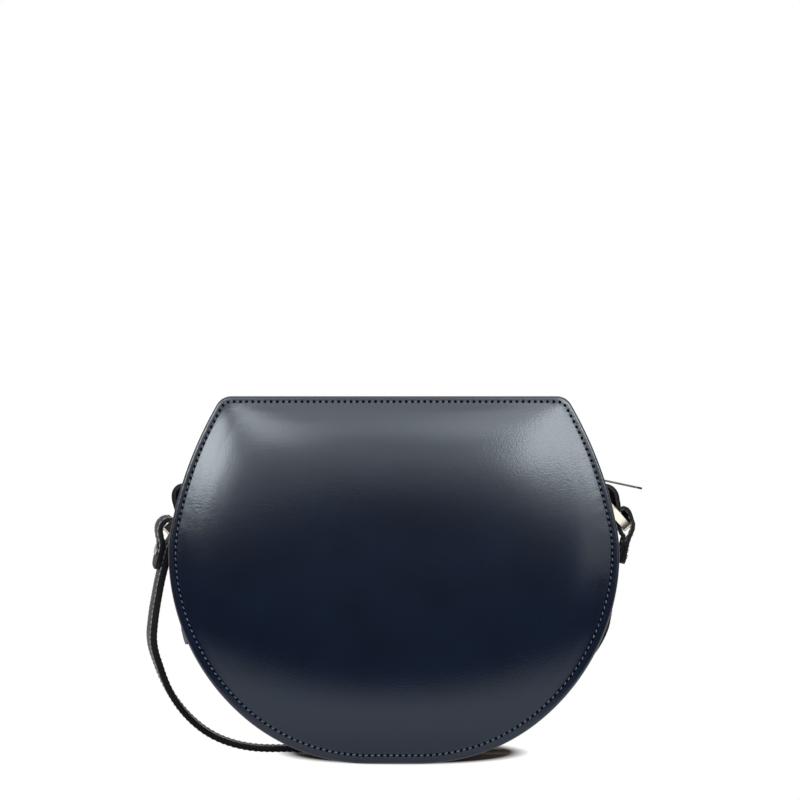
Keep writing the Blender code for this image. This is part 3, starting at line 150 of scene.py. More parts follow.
def half_ring(inset, corner, start=0.0, side_count=SIDE_COUNT):
    """From a length on the side over the corner's arc to the middle of the top line."""
    length, centre, radius, first = corner_of(inset, corner)
    side = on_track(np.linspace(start, length, side_count), inset)[0]
    angles = np.linspace(first, math.pi / 2, CORNER_COUNT + 1)[1:]
    arc = centre + radius * np.stack([np.cos(angles), np.sin(angles)], axis=1)
    across = np.linspace(centre[0], 0.0, TOP_COUNT + 1)[1:]
    return np.vstack([side, arc, np.stack([across, np.full(TOP_COUNT, BAG_HEIGHT - inset)], axis=1)])


def whole_ring(inset, corner=PANEL_CORNER):
    """The closed ring at an inset: the right half, then the left half mirrored back down."""
    half = half_ring(inset, corner)
    return np.vstack([half, (half[1:-1] * [-1.0, 1.0])[::-1]])


SEAM_LENGTH = length_at_height(SEAM_HEIGHT)
print("half outline", round(TRACK_LENGTHS[-1], 4), "m, ring points", len(whole_ring(0.0)))

# %% [markdown]
# ## Turning arrays into pieces
# Every piece below is rows of points. The helper joins neighbouring rows with quads, closes the ends
# with a flat cap or a single middle point, turns the faces outwards and shades them smoothly.


# %% A mesh from rows of points
def piece_from(name, points, faces, material, sharp=40.0):
    """A named mesh at the origin, its doubles merged and its faces turned outwards."""
    mesh = bpy.data.meshes.new(name)
    mesh.from_pydata(points.tolist(), [], faces)
    shape = bmesh.new()
    shape.from_mesh(mesh)
    bmesh.ops.remove_doubles(shape, verts=shape.verts, dist=1e-7)
    bmesh.ops.recalc_face_normals(shape, faces=shape.faces)
    shape.to_mesh(mesh)
    shape.free()
    mesh.materials.append(material)
    mesh.shade_smooth()
    mesh.set_sharp_from_angle(angle=math.radians(sharp))
    made = bpy.data.objects.new(name, mesh)
    bpy.context.collection.objects.link(made)
    return made


def row_faces(rows, count):
    """Quads between neighbouring closed rows: place i and its next one, on one row and the next."""
    first = np.arange(rows - 1)[:, None] * count
    here = np.arange(count)[None, :]
    after = (here + 1) % count
    quads = np.stack([first + here, first + after, first + count + after, first + count + here], axis=-1)
    return quads.reshape(-1, 4).tolist()


def skinned(name, rows, material, caps="flat", sharp=40.0):
    """A closed solid through rows (rows, count, 3).

    Its ends are flat faces, or fans to a middle point where caps is points, or else, where it is
    round, the last row joins the first.
    """
    rows = np.asarray(rows, float)
    number, count = rows.shape[:2]
    points, faces = rows.reshape(-1, 3), row_faces(number, count)
    last, ring = (number - 1) * count, np.arange(count)
    after = (ring + 1) % count
    if caps == "flat":
        faces += [ring.tolist(), (last + ring).tolist()]
    elif caps == "points":
        points = np.vstack([points, rows[0].mean(axis=0), rows[-1].mean(axis=0)])
        middle = np.full(count, number * count)
        faces += np.stack([ring, after, middle], axis=1).tolist()
        faces += np.stack([last + ring, last + after, middle + 1], axis=1).tolist()
    else:
        faces += np.stack([last + ring, last + after, after, ring], axis=1).tolist()
    return piece_from(name, points, faces, material, sharp)


def in_space(ring, y):
    """Outline points (n, 2) at a depth or depths y from the bag's middle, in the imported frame."""
    return np.column_stack([ring[:, 0], np.broadcast_to(MIDDLE_Y + np.asarray(y), len(ring)), ring[:, 1]])


# %% [markdown]
# ## Materials
# Smooth calf leather is dark, with a soft broad highlight that comes from the roughness of its
# finish. A Voronoi texture on Object coordinates gives the pores, one noise the grain between them
# and another the slow change of colour. An attribute carries what follows a surface: the paint on a
# cut edge. Every material is a few nodes, so small helpers make a node and fill its inputs.


# %% Colours and nodes
def painted(red, green, blue):
    """A colour given in the usual 0 to 255 numbers, as the linear values that shaders use."""
    values = np.array([red, green, blue]) / 255.0
    return tuple(np.where(values <= 0.04045, values / 12.92, ((values + 0.055) / 1.055) ** 2.4).tolist())


def new_material(name):
    """A material with nodes: itself, its node tree and its main shader."""
    made = bpy.data.materials.new(name)
    made.use_nodes = True
    tree = made.node_tree
    return made, tree, tree.nodes["Principled BSDF"]


def feed(tree, target, inputs):
    """Fill a node's inputs: another node's output is linked, and any other value is set."""
    for key, value in inputs.items():
        if isinstance(value, bpy.types.NodeSocket):
            tree.links.new(value, target.inputs[key])
        else:
            target.inputs[key].default_value = value


def add_node(tree, kind, inputs=None, **settings):
    """A shader node of one kind: its settings first, such as its operation, and then its inputs."""
    made = tree.nodes.new(f"ShaderNode{kind}")
    for key, value in settings.items():
        setattr(made, key, value)
    feed(tree, made, inputs or {})
    return made


# %% Values that nodes work out
def object_place(tree):
    """The piece's own coordinates in metres."""
    return add_node(tree, "TexCoord").outputs["Object"]


def object_noise(tree, scale, detail=3.0, roughness=0.5):
    """A noise from 0 to 1 over the piece's own coordinates; scale is features per metre."""
    inputs = {"Vector": object_place(tree), "Scale": scale, "Detail": detail, "Roughness": roughness}
    return add_node(tree, "TexNoise", inputs).outputs["Fac"]


def ramp(tree, source, stops):
    """A colour that changes with its source between two stops, each a place from 0 to 1 and a colour."""
    made = add_node(tree, "ValToRGB", {"Fac": source})
    for element, (place, colour) in zip(made.color_ramp.elements, stops):
        element.position = place
        element.color = (*colour, 1.0)
    return made.outputs["Color"]


def ranged(tree, source, start, end, low=0.0, high=1.0):
    """A value that goes evenly from low to high while its source goes from start to end."""
    inputs = {"Value": source, "From Min": start, "From Max": end, "To Min": low, "To Max": high}
    return add_node(tree, "MapRange", inputs).outputs["Result"]


def maths(tree, operation, *values):
    """One operation on two or three values."""
    return add_node(tree, "Math", dict(enumerate(values)), operation=operation).outputs["Value"]


def mixed(tree, share, first, second):
    """A colour that is the first at a share of 0 and the second at a share of 1."""
    return add_node(tree, "Mix", {0: share, 6: first, 7: second}, data_type="RGBA").outputs[2]


def add_bump(tree, shader, height, strength, distance):
    """Relief on a shader: a height from 0 to 1 stands for a distance in metres, at part strength."""
    bump = add_node(tree, "Bump", {"Strength": strength, "Distance": distance, "Height": height})
    feed(tree, shader, {"Normal": bump.outputs["Normal"]})


# %% Leather, with painted edges where a piece carries them
def leather(
    name, dark, light, edge, gloss=0.40, pore_size=0.0008, pore_depth=0.00006, shine=0.3,
    tint=(0.92, 0.94, 1.0),
):
    """Smooth leather, with the edge colour where the attribute edge_paint is 1: edge paint, which on the
    panels is lightened by a painted warm reflection.

    The relief is a grain plus a tenth of the pores' height, which rises from each pore's edge.
    """
    made, tree, shader = new_material(name)
    tone = ramp(tree, object_noise(tree, scale=45.0), ((0.35, dark), (0.68, light)))
    paint = add_node(tree, "Attribute", attribute_name="edge_paint")
    fine = object_noise(tree, scale=900.0, detail=2.0)
    cells = {"Vector": object_place(tree), "Scale": 1.0 / pore_size}
    pores = add_node(tree, "TexVoronoi", cells, feature="DISTANCE_TO_EDGE")
    shallow = ramp(tree, pores.outputs["Distance"], ((0.0, (0.0, 0.0, 0.0)), (0.25, (1.0, 1.0, 1.0))))
    grain = object_noise(tree, scale=1.0 / pore_size, detail=1.0)
    height = maths(tree, "MULTIPLY_ADD", shallow, 0.10, grain)
    add_bump(tree, shader, height, strength=0.5, distance=pore_depth)
    feed(tree, shader, {
        "Base Color": mixed(tree, paint.outputs["Fac"], tone, (*edge, 1.0)),
        "Roughness": ranged(tree, fine, 0.0, 1.0, gloss * 0.85, gloss * 1.2),
        "Specular IOR Level": shine,
        "Specular Tint": (*tint, 1.0),
    })
    return made


# The panel's edge colour is a warm purple-grey, lighter than its dark navy edge paint: the paint with a
# painted warm reflection on it
PANEL_LEATHER = leather(
    "panel_leather", painted(11, 19, 35), painted(14, 24, 42), painted(86, 77, 80), gloss=0.13,
    pore_depth=0.000034, shine=0.60, tint=(0.86, 0.95, 1.0),
)
SIDE_LEATHER = leather(
    "gusset_leather", painted(20, 27, 42), painted(25, 33, 50), painted(40, 40, 46), gloss=0.44,
    shine=0.35,
)
STRAP_LEATHER = leather(
    "strap_leather", painted(15, 18, 26), painted(20, 24, 33), painted(13, 13, 16),
    pore_size=0.0007, shine=0.24,
)
# Needle holes look dark only from the shade inside them: this colour is painted shade
HOLE_SHADE = leather(
    "needle_hole_shade", painted(5, 6, 10), painted(8, 9, 14), painted(5, 6, 10), gloss=0.7, shine=0.05,
)


# %% Thread, cloth, board and metal
WAVE_PERIOD = 0.31


def thread(name, dark, light):
    """Twisted waxed thread: a very fine noise stands for its strands, and the colour is lighter where they
    rise: a painted highlight on the raised strands.
    """
    made, tree, shader = new_material(name)
    strands = object_noise(tree, scale=2600.0, detail=2.0)
    add_bump(tree, shader, strands, strength=0.5, distance=0.00006)
    feed(tree, shader, {"Base Color": ramp(tree, strands, ((0.38, dark), (0.62, light))), "Roughness": 0.55})
    return made


def cloth(name, dark, light, pitch, roughness=0.85):
    """Plain weave: the higher of two crossed sine waves, one along X and one along Z. The colour is darker
    where the weave is low and lighter where it is high: painted shade and highlight.

    At a scale of 1 the wave texture repeats after WAVE_PERIOD metres, so that length over the pitch
    is the scale.
    """
    made, tree, shader = new_material(name)
    inputs = {"Vector": object_place(tree), "Scale": WAVE_PERIOD / pitch}
    waves = [add_node(tree, "TexWave", inputs, bands_direction=way).outputs["Fac"] for way in ("X", "Z")]
    weave = maths(tree, "MAXIMUM", *waves)
    add_bump(tree, shader, weave, strength=0.6, distance=0.00008)
    feed(tree, shader, {"Base Color": ramp(tree, weave, ((0.3, dark), (0.9, light))), "Roughness": roughness})
    return made


def metal(name, colour, roughness):
    """Polished plate: a little uneven in its colour and gloss, with hairline wear in the bump."""
    made, tree, shader = new_material(name)
    wear = object_noise(tree, scale=380.0, detail=4.0)
    add_bump(tree, shader, wear, strength=0.12, distance=0.00002)
    worn = tuple(0.93 * part for part in colour)
    feed(tree, shader, {
        "Base Color": ramp(tree, wear, ((0.3, worn), (0.7, colour))),
        "Roughness": ranged(tree, wear, 0.0, 1.0, roughness * 0.8, roughness * 1.3),
        "Metallic": 1.0,
    })
    return made


PANEL_THREAD = thread("panel_thread", painted(54, 66, 92), painted(122, 136, 162))
STRAP_THREAD = thread("strap_thread", painted(120, 128, 132), painted(196, 200, 198))
LINING_CLOTH = cloth("lining_cloth", painted(34, 44, 70), painted(58, 70, 104), pitch=0.0005)
TAPE_CLOTH = cloth("zip_tape_cloth", painted(12, 15, 24), painted(30, 36, 52), pitch=0.0007)
BOARD_FIBRE = cloth(
    "board_fibre", painted(150, 144, 136), painted(178, 172, 162), pitch=0.0009, roughness=0.95,
)
FITTING_METAL = metal("fitting_metal", painted(226, 219, 205), roughness=0.10)
TOOTH_METAL = metal("tooth_metal", painted(206, 200, 188), roughness=0.22)
print("materials", len(bpy.data.materials))


def paint_edges(made, values):
    """Store how much edge paint each point carries, in the order that the points were given."""
    attribute = made.data.attributes.new("edge_paint", "FLOAT", "POINT")
    attribute.data.foreach_set("value", np.asarray(values, np.float32))


# %% [markdown]
# ## The domed panels
# A panel is one skin: a back that follows the dome, a rounded cut edge, a nearly level rim that
# carries the stitches, and inside it the dome. The dome has the shape of a skin that is held at the
# rim and pushed out evenly: every place lies a little above the mean of its four neighbours. That
# shape has no crease running to the corners, and a soft highlight would show one.

# %% The panel's rim
CENTRE = np.array([0.0, BAG_HEIGHT * CENTRE_SHARE])
STITCH_INSET, DOME_START, DOME_HEIGHT = 0.0031, 0.0037, 0.0037
RIM_REACH, RIM_LEVELS, RIM_WIDTHS = 0.006, (0.0, 0.30, 0.60, 1.0), (1.22, 1.25, 1.0, 0.78)
# Each place on the rim is an inset from the edge, a depth below the panel's plane and a share of edge colour:
# edge paint with a painted warm reflection
RIM_PROFILE = (
    (0.0090, 0.00200, 0.0), (0.0012, 0.00200, 0.4), (0.00045, 0.00198, 1.0), (0.00012, 0.00184, 1.0),
    (0.0, 0.00160, 1.0), (0.0, 0.00090, 1.0), (0.00012, 0.00050, 0.8), (0.00036, 0.00023, 0.3),
    (0.00075, 0.00014, 0.0), (0.0013, 0.00010, 0.0), (0.0019, 0.00007, 0.0), (0.0025, 0.00004, 0.0),
    (0.0031, 0.00002, 0.0),
)
OUTER_RING, INNER_RING = whole_ring(0.0), whole_ring(RIM_REACH)


def rim_ring(inset):
    """A ring part of the way from the outline to the ring RIM_REACH inside it.

    Its inset is more than asked near the ground and less near the top, by the widths at the levels.
    """
    wide = np.interp(OUTER_RING[:, 1] / BAG_HEIGHT, RIM_LEVELS, RIM_WIDTHS)
    return OUTER_RING + (INNER_RING - OUTER_RING) * (wide * inset / RIM_REACH)[:, None]


# %% The dome inside the rim
# Shares of the way from the centre to the rim, closest together beside the rim
DOME_SHARES = np.concatenate([
    [1.0, 0.995, 0.988, 0.978, 0.965, 0.95, 0.93, 0.91], np.linspace(0.89, 0.035, 38),
])


def pushed_out(rim, step, rounds=9000):
    """A grid of heights with a top of 1: a place is its four neighbours' mean plus a little.

    Outside the rim it is nothing, and in the last step before the rim it is scaled by the share of
    that step that is left, so the grid's squares leave no stairs.
    """
    across = np.arange(-BAG_WIDTH / 2, BAG_WIDTH / 2 + step, step)
    up = np.arange(0.0, BAG_HEIGHT + step, step)
    grid = np.stack(np.meshgrid(across, up, indexing="ij"), axis=-1)
    turns = np.arctan2(rim[:, 1] - CENTRE[1], rim[:, 0])
    order = np.argsort(turns)
    reach = np.linalg.norm(rim - CENTRE, axis=1)[order]
    away = grid - CENTRE
    limit = np.interp(np.arctan2(away[..., 1], away[..., 0]), turns[order], reach, period=2 * math.pi)
    inside = np.clip((limit - np.linalg.norm(away, axis=-1)) / step, 0.0, 1.0)[1:-1, 1:-1]
    heights = np.zeros(grid.shape[:2])
    for _ in range(rounds):
        mean = heights[2:, 1:-1] + heights[:-2, 1:-1] + heights[1:-1, 2:] + heights[1:-1, :-2]
        heights[1:-1, 1:-1] = inside * (mean / 4 + 1.0)
    return heights / heights.max()


def smooth_sample(grid, at):
    """Values between the grid's places: cubic B-spline weights over four rows and four columns."""
    low = np.floor(at).astype(int)
    t = at - low
    weights = (1 - t) ** 3, 3 * t**3 - 6 * t**2 + 4, -3 * t**3 + 3 * t**2 + 3 * t + 1, t**3
    value = np.zeros(at.shape[:-1])
    for i in range(4):
        for j in range(4):
            near = grid[low[..., 0] + i - 1, low[..., 1] + j - 1]
            value += near * weights[i][..., 0] * weights[j][..., 1] / 36
    return value


def dome_heights(step=0.0016, held=0.97, fullness=2.2):
    """Heights of every inner ring: the dome's height times 1 - (1 - pushed) ^ fullness.

    The height left at the rim is then taken away, all of it at the rim and none inside the share
    held, and each ring between the ends is eased twice towards the mean of its neighbours.
    """
    rim = rim_ring(DOME_START)
    rings = CENTRE + (rim - CENTRE) * DOME_SHARES[:, None, None]
    pushed = smooth_sample(pushed_out(rim, step), (rings - [-BAG_WIDTH / 2, 0.0]) / step)
    heights = DOME_HEIGHT * (1.0 - (1.0 - pushed) ** fullness)
    heights -= heights[:1] * np.clip((DOME_SHARES - held) / (1.0 - held), 0.0, 1.0)[:, None]
    for _ in range(2):
        heights[1:-1] = 0.5 * heights[1:-1] + 0.25 * (heights[:-2] + heights[2:])
    return heights


DOME = dome_heights()


# %% The panel's skin
def panel_rows(side):
    """Rows from the back's middle, out round the edge and in again to the front's middle."""
    rim = rim_ring(DOME_START)
    inner = [CENTRE + (rim - CENTRE) * share for share in DOME_SHARES]
    back = [in_space(r, side * (HALF_DEPTH - PANEL_THICK + h)) for r, h in list(zip(inner, DOME))[::-4]]
    edge = [in_space(rim_ring(inset), side * (HALF_DEPTH - depth)) for inset, depth, _ in RIM_PROFILE]
    face = [in_space(r, side * (HALF_DEPTH + h)) for r, h in zip(inner, DOME)]
    paint = [0.0] * len(back) + [p for _, _, p in RIM_PROFILE] + [0.0] * len(face)
    return np.array(back + edge + face), np.array(paint)


def make_panel(name, side):
    """A panel's skin on the front, at a side of -1, or on the back, at 1."""
    rows, paint = panel_rows(side)
    made = skinned(name, rows, PANEL_LEATHER, caps="points", sharp=60.0)
    paint_edges(made, np.concatenate([np.repeat(paint, rows.shape[1]), [0.0, 0.0]]))
    return made


panels = [make_panel("front_panel_skin", -1.0), make_panel("back_panel_skin", 1.0)]
for skin_piece, node in zip(panels, ("front_panel", "back_panel")):
    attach(skin_piece, "bag")
    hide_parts(node)
print("panel faces", [len(p.data.polygons) for p in panels])

# %% [markdown]
# ## Stitches
# A saddle stitch leans between two needle holes: it rises out of one, arches over the leather and
# sinks into the next. One stitch is a tube round a short arch, and all of them are made in one array
# by placing that arch between each pair of holes.


# %% Stitches along any line
def oval(first, second, wide, long, sides):
    """Places round an oval about nothing: first * wide * cos a + second * long * sin a."""
    turn = np.linspace(0.0, 2 * math.pi, sides, endpoint=False)[:, None]
    return first * (wide * np.cos(turn)) + second * (long * np.sin(turn))


def stitch_points(line, outwards, pitch, radius, rise, lean, fill=0.86, sides=6, steps=7):
    """Tubes over arches: with t along a pitch, the height is rise * sin(pi t), and lean goes sideways.

    A tube covers the share fill in the middle of its pitch, and swells there from 0.55 to 1 times the
    radius. Returns points (stitches, steps, sides, 3), the hole places and the directions there.
    """
    lengths = run_lengths(line)
    count = max(2, int(round(lengths[-1] / pitch)))
    holes = np.linspace(0.0, lengths[-1], count + 1)
    t = np.linspace((1 - fill) / 2, (1 + fill) / 2, steps)
    at = holes[:-1, None] + t[None, :] * (lengths[-1] / count)

    def along(values, where):
        """Values read off the line, evenly between its points."""
        return np.stack([np.interp(where, lengths, values[:, i]) for i in range(3)], axis=-1)

    tangents = unit(np.gradient(line, axis=0))
    centre, up, forward = along(line, at), unit(along(outwards, at)), along(tangents, at)
    aside = np.cross(forward, up)
    slant = lean * (2 * t[None, :, None] - 1)
    centre = centre + up * (rise * np.sin(math.pi * t))[None, :, None] + aside * slant
    swell = radius * (0.55 + 0.45 * np.sin(math.pi * (t - t[0]) / (t[-1] - t[0])))
    ring = oval(up[:, :, None], aside[:, :, None], 1.0, 1.0, sides)
    tubes = centre[:, :, None] + ring * swell[None, :, None, None]
    return tubes, along(line, holes), along(outwards, holes)


def tubes_piece(name, tubes, material):
    """All the little tubes as one mesh, each closed with two flat ends."""
    number, steps, sides = tubes.shape[:3]
    starts = np.arange(number) * steps * sides
    quads = (np.array(row_faces(steps, sides))[None] + starts[:, None, None]).reshape(-1, 4)
    first = starts[:, None] + np.arange(sides)
    ends = np.vstack([first[:, ::-1], first + (steps - 1) * sides])
    return piece_from(name, tubes.reshape(-1, 3), quads.tolist() + ends.tolist(), material, sharp=70.0)


# %% Stitches round the panels, and painted shade in their needle holes
RIM_STITCH = {"pitch": 0.00272, "radius": 0.00021, "rise": 0.00016, "fill": 0.52}
RIM_LEAN, HOLE_RADIUS = 0.00030, 0.00072
# The rings of a needle hole's painted shade: shares of its radius, and heights above the leather
HOLE_RINGS = ((0.25, 0.00010), (1.0, 0.00007), (1.0, -0.00015), (0.3, -0.0002))


def hole_shade_piece(name, places, outwards):
    """Painted shade in the needle holes: dark round discs that stand up to a tenth of a millimetre above the
    leather.
    """
    up, forward = unit(outwards)[:, None], unit(np.gradient(places, axis=0))[:, None]
    aside = np.cross(forward, up)
    rings = []
    for share, height in HOLE_RINGS:
        ring = oval(forward, aside, HOLE_RADIUS * share, HOLE_RADIUS * share, 10)
        rings.append(places[:, None] + ring + up * height)
    return tubes_piece(name, np.stack(rings, axis=1), HOLE_SHADE)


def rim_stitches(name, side):
    """Stitches on the rim all the way round: their line is the ring at the stitches' inset."""
    ring = rim_ring(STITCH_INSET)
    line = in_space(np.vstack([ring, ring[:1]]), side * HALF_DEPTH)
    outwards = np.tile([0.0, side, 0.0], (len(line), 1))
    tubes, holes, ups = stitch_points(line, outwards, lean=RIM_LEAN * side, **RIM_STITCH)
    threads = tubes_piece(f"{name}_rim_stitches", tubes, PANEL_THREAD)
    dark = hole_shade_piece(f"{name}_rim_hole_shade", holes[:-1], ups[:-1])
    for made in (threads, dark):
        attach(made, "bag")
    return len(tubes)


print("rim stitches", rim_stitches("front", -1.0), rim_stitches("back", 1.0))

# %% [markdown]
# ## Gusset and zip facings
# The side of the bag is a channel: a wall between the panels, with a flange turned out behind each
# panel. The zip facings carry on over the top with a slot between them. A profile with small round
# corners is carried along the outline's track, so the leather's cut ends look cut and its folds look
# folded.


# %% Profiles carried round the bag
def both_sides(half):
    """The right half's points, then the left half's, mirrored and in the other order."""
    return np.vstack([half, (half[:-1] * [-1.0, 1.0])[::-1]])


def carried(profile, length, over_top, count):
    """Rows along the track: each profile point is a depth and an inset, the track gives the rest.

    The path runs from a length on one side to the same length on the other, over the bag's top or
    else under the bag.
    """
    columns = []
    for depth, inset in profile:
        if over_top:
            half = half_ring(inset, WALL_CORNER, length, count)
        else:
            half = on_track(np.linspace(length, 0.0, count), inset)[0]
        columns.append(in_space(both_sides(half), depth))
    return np.stack(columns, axis=1)


def rounded(profile, radius, steps=3):
    """A closed profile with round corners: each corner p between a and b is a quadratic curve.

    The curve is (1 - t)^2 a + 2 t (1 - t) p + t^2 b, with a and b up to the radius away from p.
    """
    points = np.asarray(profile, float)
    ends = []
    for neighbour in (np.roll(points, 1, axis=0), np.roll(points, -1, axis=0)):
        away = neighbour - points
        reach = np.minimum(radius, 0.45 * np.linalg.norm(away, axis=1))[:, None]
        ends.append(points + unit(away) * reach)
    t = np.linspace(0.0, 1.0, steps + 1)[None, :, None]
    curve = (1 - t) ** 2 * ends[0][:, None] + 2 * t * (1 - t) * points[:, None] + t**2 * ends[1][:, None]
    return curve.reshape(-1, 2)


# %% The gusset
FLANGE_OUT = HALF_DEPTH - PANEL_THICK - GAP
FLANGE_IN = FLANGE_OUT - WALL_THICK
FLANGE_INSET, FOLD_RADIUS = 0.0009, 0.0005
WALL_INNER = WALL_INSET + WALL_THICK
SEAM_LOW = SEAM_LENGTH - LOOP_THICK / 2 - GAP
SEAM_HIGH = SEAM_LENGTH + LOOP_THICK / 2 + GAP
gusset_profile = rounded(
    (
        (-FLANGE_OUT, FLANGE_INSET), (-FLANGE_IN, FLANGE_INSET), (-FLANGE_IN, WALL_INSET),
        (FLANGE_IN, WALL_INSET), (FLANGE_IN, FLANGE_INSET), (FLANGE_OUT, FLANGE_INSET),
        (FLANGE_OUT, WALL_INNER), (-FLANGE_OUT, WALL_INNER),
    ),
    FOLD_RADIUS,
)
gusset = skinned("gusset_skin", carried(gusset_profile, SEAM_LOW, False, 150), SIDE_LEATHER, sharp=50.0)
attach(gusset, "bag")
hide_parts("gusset")
print("gusset faces", len(gusset.data.polygons))

# %% The facings beside the zip
SLOT_HALF, FACING_SEAM, SEAM_LAP, FACING_COUNT = 0.0056, 0.0022, 0.0002, 40
FACING_STITCH = {"pitch": 0.0027, "radius": 0.0002, "rise": 0.0002, "lean": 0.0001}
BAG_INSIDE = np.array([0.0, MIDDLE_Y, 0.08])


def make_facing(side, word):
    """One facing: flange, wall and the slot's edge, with a row of stitches beside the slot."""
    profile = rounded(
        (
            (side * FLANGE_OUT, FLANGE_INSET), (side * FLANGE_IN, FLANGE_INSET),
            (side * FLANGE_IN, WALL_INSET), (side * SLOT_HALF, WALL_INSET),
            (side * SLOT_HALF, WALL_INNER), (side * FLANGE_OUT, WALL_INNER),
        ),
        FOLD_RADIUS,
    )
    rows = carried(profile, SEAM_LOW + SEAM_LAP, True, FACING_COUNT)
    made = skinned(f"{word}_facing_skin", rows, SIDE_LEATHER, sharp=50.0)
    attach(made, "bag")
    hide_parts(f"{word}_zip_facing")
    ring = both_sides(half_ring(WALL_INSET, WALL_CORNER, SEAM_HIGH, FACING_COUNT))
    line = in_space(ring, side * (SLOT_HALF + FACING_SEAM))
    outwards = np.cross(ACROSS, np.gradient(line, axis=0))
    outwards *= np.sign((outwards * (line - BAG_INSIDE)).sum(axis=1))[:, None]
    tubes, _, _ = stitch_points(line, outwards, **FACING_STITCH)
    threads = tubes_piece(f"{word}_facing_stitches", tubes, PANEL_THREAD)
    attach(threads, "bag")
    return made


facings = [make_facing(-1.0, "front"), make_facing(1.0, "back")]
print("facing faces", [len(f.data.polygons) for f in facings])


# %% Zip tapes and the gusset's lining
TAPE_NEAR, TAPE_FAR, CLOTH_THICK, BOARD_THICK = 0.0027, 0.0135, 0.0006, 0.0012


def band(name, node, profile, material, over_top, count=44):
    """A strip carried round the bag, from seam to seam, that replaces its solid."""
    length = SEAM_HIGH if over_top else SEAM_LOW
    made = skinned(name, carried(rounded(profile, 0.00015, 1), length, over_top, count), material)
    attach(made, "bag")
    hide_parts(node)
    return made


TAPE_TOP = WALL_INNER + GAP
for side, word in ((-1.0, "front"), (1.0, "back")):
    tape = (
        (side * TAPE_NEAR, TAPE_TOP), (side * TAPE_FAR, TAPE_TOP),
        (side * TAPE_FAR, TAPE_TOP + CLOTH_THICK), (side * TAPE_NEAR, TAPE_TOP + CLOTH_THICK),
    )
    band(f"{word}_tape_cloth", f"{word}_zip_tape", tape, TAPE_CLOTH, True)
INSIDE = FLANGE_OUT - BOARD_THICK - GAP - CLOTH_THICK
lining_top = TAPE_TOP + BOARD_THICK + GAP
lining = (
    (-INSIDE + GAP, lining_top), (INSIDE - GAP, lining_top),
    (INSIDE - GAP, lining_top + CLOTH_THICK), (-INSIDE + GAP, lining_top + CLOTH_THICK),
)
band("gusset_lining_cloth", "gusset_lining", lining, LINING_CLOTH, False, count=90)


# %% The panels' linings and the pocket
LINING_BULGE, LINING_SHARES = 0.0038, np.linspace(1.0, 0.04, 18)[::-1]


def make_lining(side, word):
    """A lining in two layers, each from its middle to its rim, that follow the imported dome.

    A layer's bulge is LINING_BULGE times one minus the squared share of the way to the rim.
    """
    rim = whole_ring(TAPE_TOP, WALL_CORNER)
    rows = [
        in_space(CENTRE + (rim - CENTRE) * s, side * (layer - CLOTH_THICK / 2 + LINING_BULGE * (1 - s**2)))
        for layer in (INSIDE + CLOTH_THICK, INSIDE) for s in LINING_SHARES
    ]
    made = skinned(f"{word}_lining_cloth", rows, LINING_CLOTH, caps="points", sharp=70.0)
    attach(made, "bag")
    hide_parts(f"{word}_lining")
    return made


linings = [make_lining(-1.0, "front"), make_lining(1.0, "back")]


POCKET_BULGE, POCKET_THICK, POCKET_HEM, HEM_START, POCKET_PLAY = 0.0036, 0.0005, 0.0003, 0.94, 0.0007


def make_pocket():
    """A patch pocket: a slightly bowed sheet with a thicker hem along its open top edge.

    It bulges by POCKET_BULGE times one minus the squared reach, 1 at the bag's outline.
    """
    low, high = (np.array(v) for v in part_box("inner_pocket"))
    u, v = np.meshgrid(np.linspace(0, 1, 30), np.linspace(0, 1, 24), indexing="ij")
    x, z = low[0] + u * (high[0] - low[0]), low[2] + v * (high[2] - low[2])
    reach = np.sqrt((x / (BAG_WIDTH / 2)) ** 2 + ((z - CENTRE[1]) / (BAG_HEIGHT / 2)) ** 2)
    bulge = POCKET_BULGE * np.clip(1 - reach**2, 0, 1)
    thick = POCKET_THICK + POCKET_HEM * (v > HEM_START)
    near = MIDDLE_Y + INSIDE - POCKET_PLAY + bulge
    outer = np.stack([x, near - thick, z], axis=-1)
    inner = np.stack([x, near, z], axis=-1)
    rows = np.concatenate([outer, inner[:, ::-1]], axis=1)
    made = skinned("pocket_cloth", rows, LINING_CLOTH)
    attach(made, "bag")
    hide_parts("inner_pocket")
    return made


make_pocket()
print("cloth pieces", len(linings) + 4)

# %% [markdown]
# ## The strap's path
# The strap lies on one smooth line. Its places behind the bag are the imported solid's own, given as
# shares of half the width, of the depth and of the height. Between them runs a curve whose slope at
# each place is that of its two neighbours, so it passes through every place without a kink.

# %% Places along the strap
STRAP_WIDTH, STRAP_THICK, FOLD_REACH = 0.0120, 0.0026, 0.0050
FOLD_THICKS = {"left": 0.0022, "right": 0.0015}
LEG_DROPS = {"left": 0.0068, "right": 0.0088}
STRAP_STEP, FOLD_STEP = 0.0075, 0.0016
RING_LENGTH, RING_BAR, RING_TALL, RING_INNER = 0.0126, 0.0016, 0.0040, 0.0136
DROP_DEGREES = {"left": 42.5, "right": 49.0}
FOLD_TAILS = {"left": 0.0128, "right": 0.0080}
BUCKLE_LENGTH, BUCKLE_WIRE, EYE_RADIUS, EYE_THICK = 0.0140, 0.0018, 0.0016, 0.0012
TAIL_LENGTH = 0.1120
LONG_ROUTE_SHARES = (
    (-1.016, 0.000, 0.5890), (-1.029, 0.008, 0.5550), (-1.049, 0.030, 0.5090), (-1.077, 0.090, 0.4250),
    (-1.096, 0.215, 0.3230), (-1.082, 0.292, 0.2770), (-1.030, 0.430, 0.1850), (-0.958, 0.554, 0.1150),
    (-0.876, 0.630, 0.0660), (-0.800, 0.664, 0.0380), (-0.690, 0.685, 0.0165), (-0.560, 0.692, 0.0090),
    (-0.420, 0.700, 0.0086), (-0.150, 0.715, 0.0086), (0.120, 0.765, 0.0086), (0.340, 0.830, 0.0090),
    (0.530, 0.885, 0.0380), (0.700, 0.905, 0.1300), (0.830, 0.905, 0.2700), (0.870, 0.905, 0.4200),
    (0.800, 0.900, 0.5900), (0.610, 0.885, 0.7000), (0.350, 0.865, 0.7480), (0.120, 0.845, 0.7530),
)
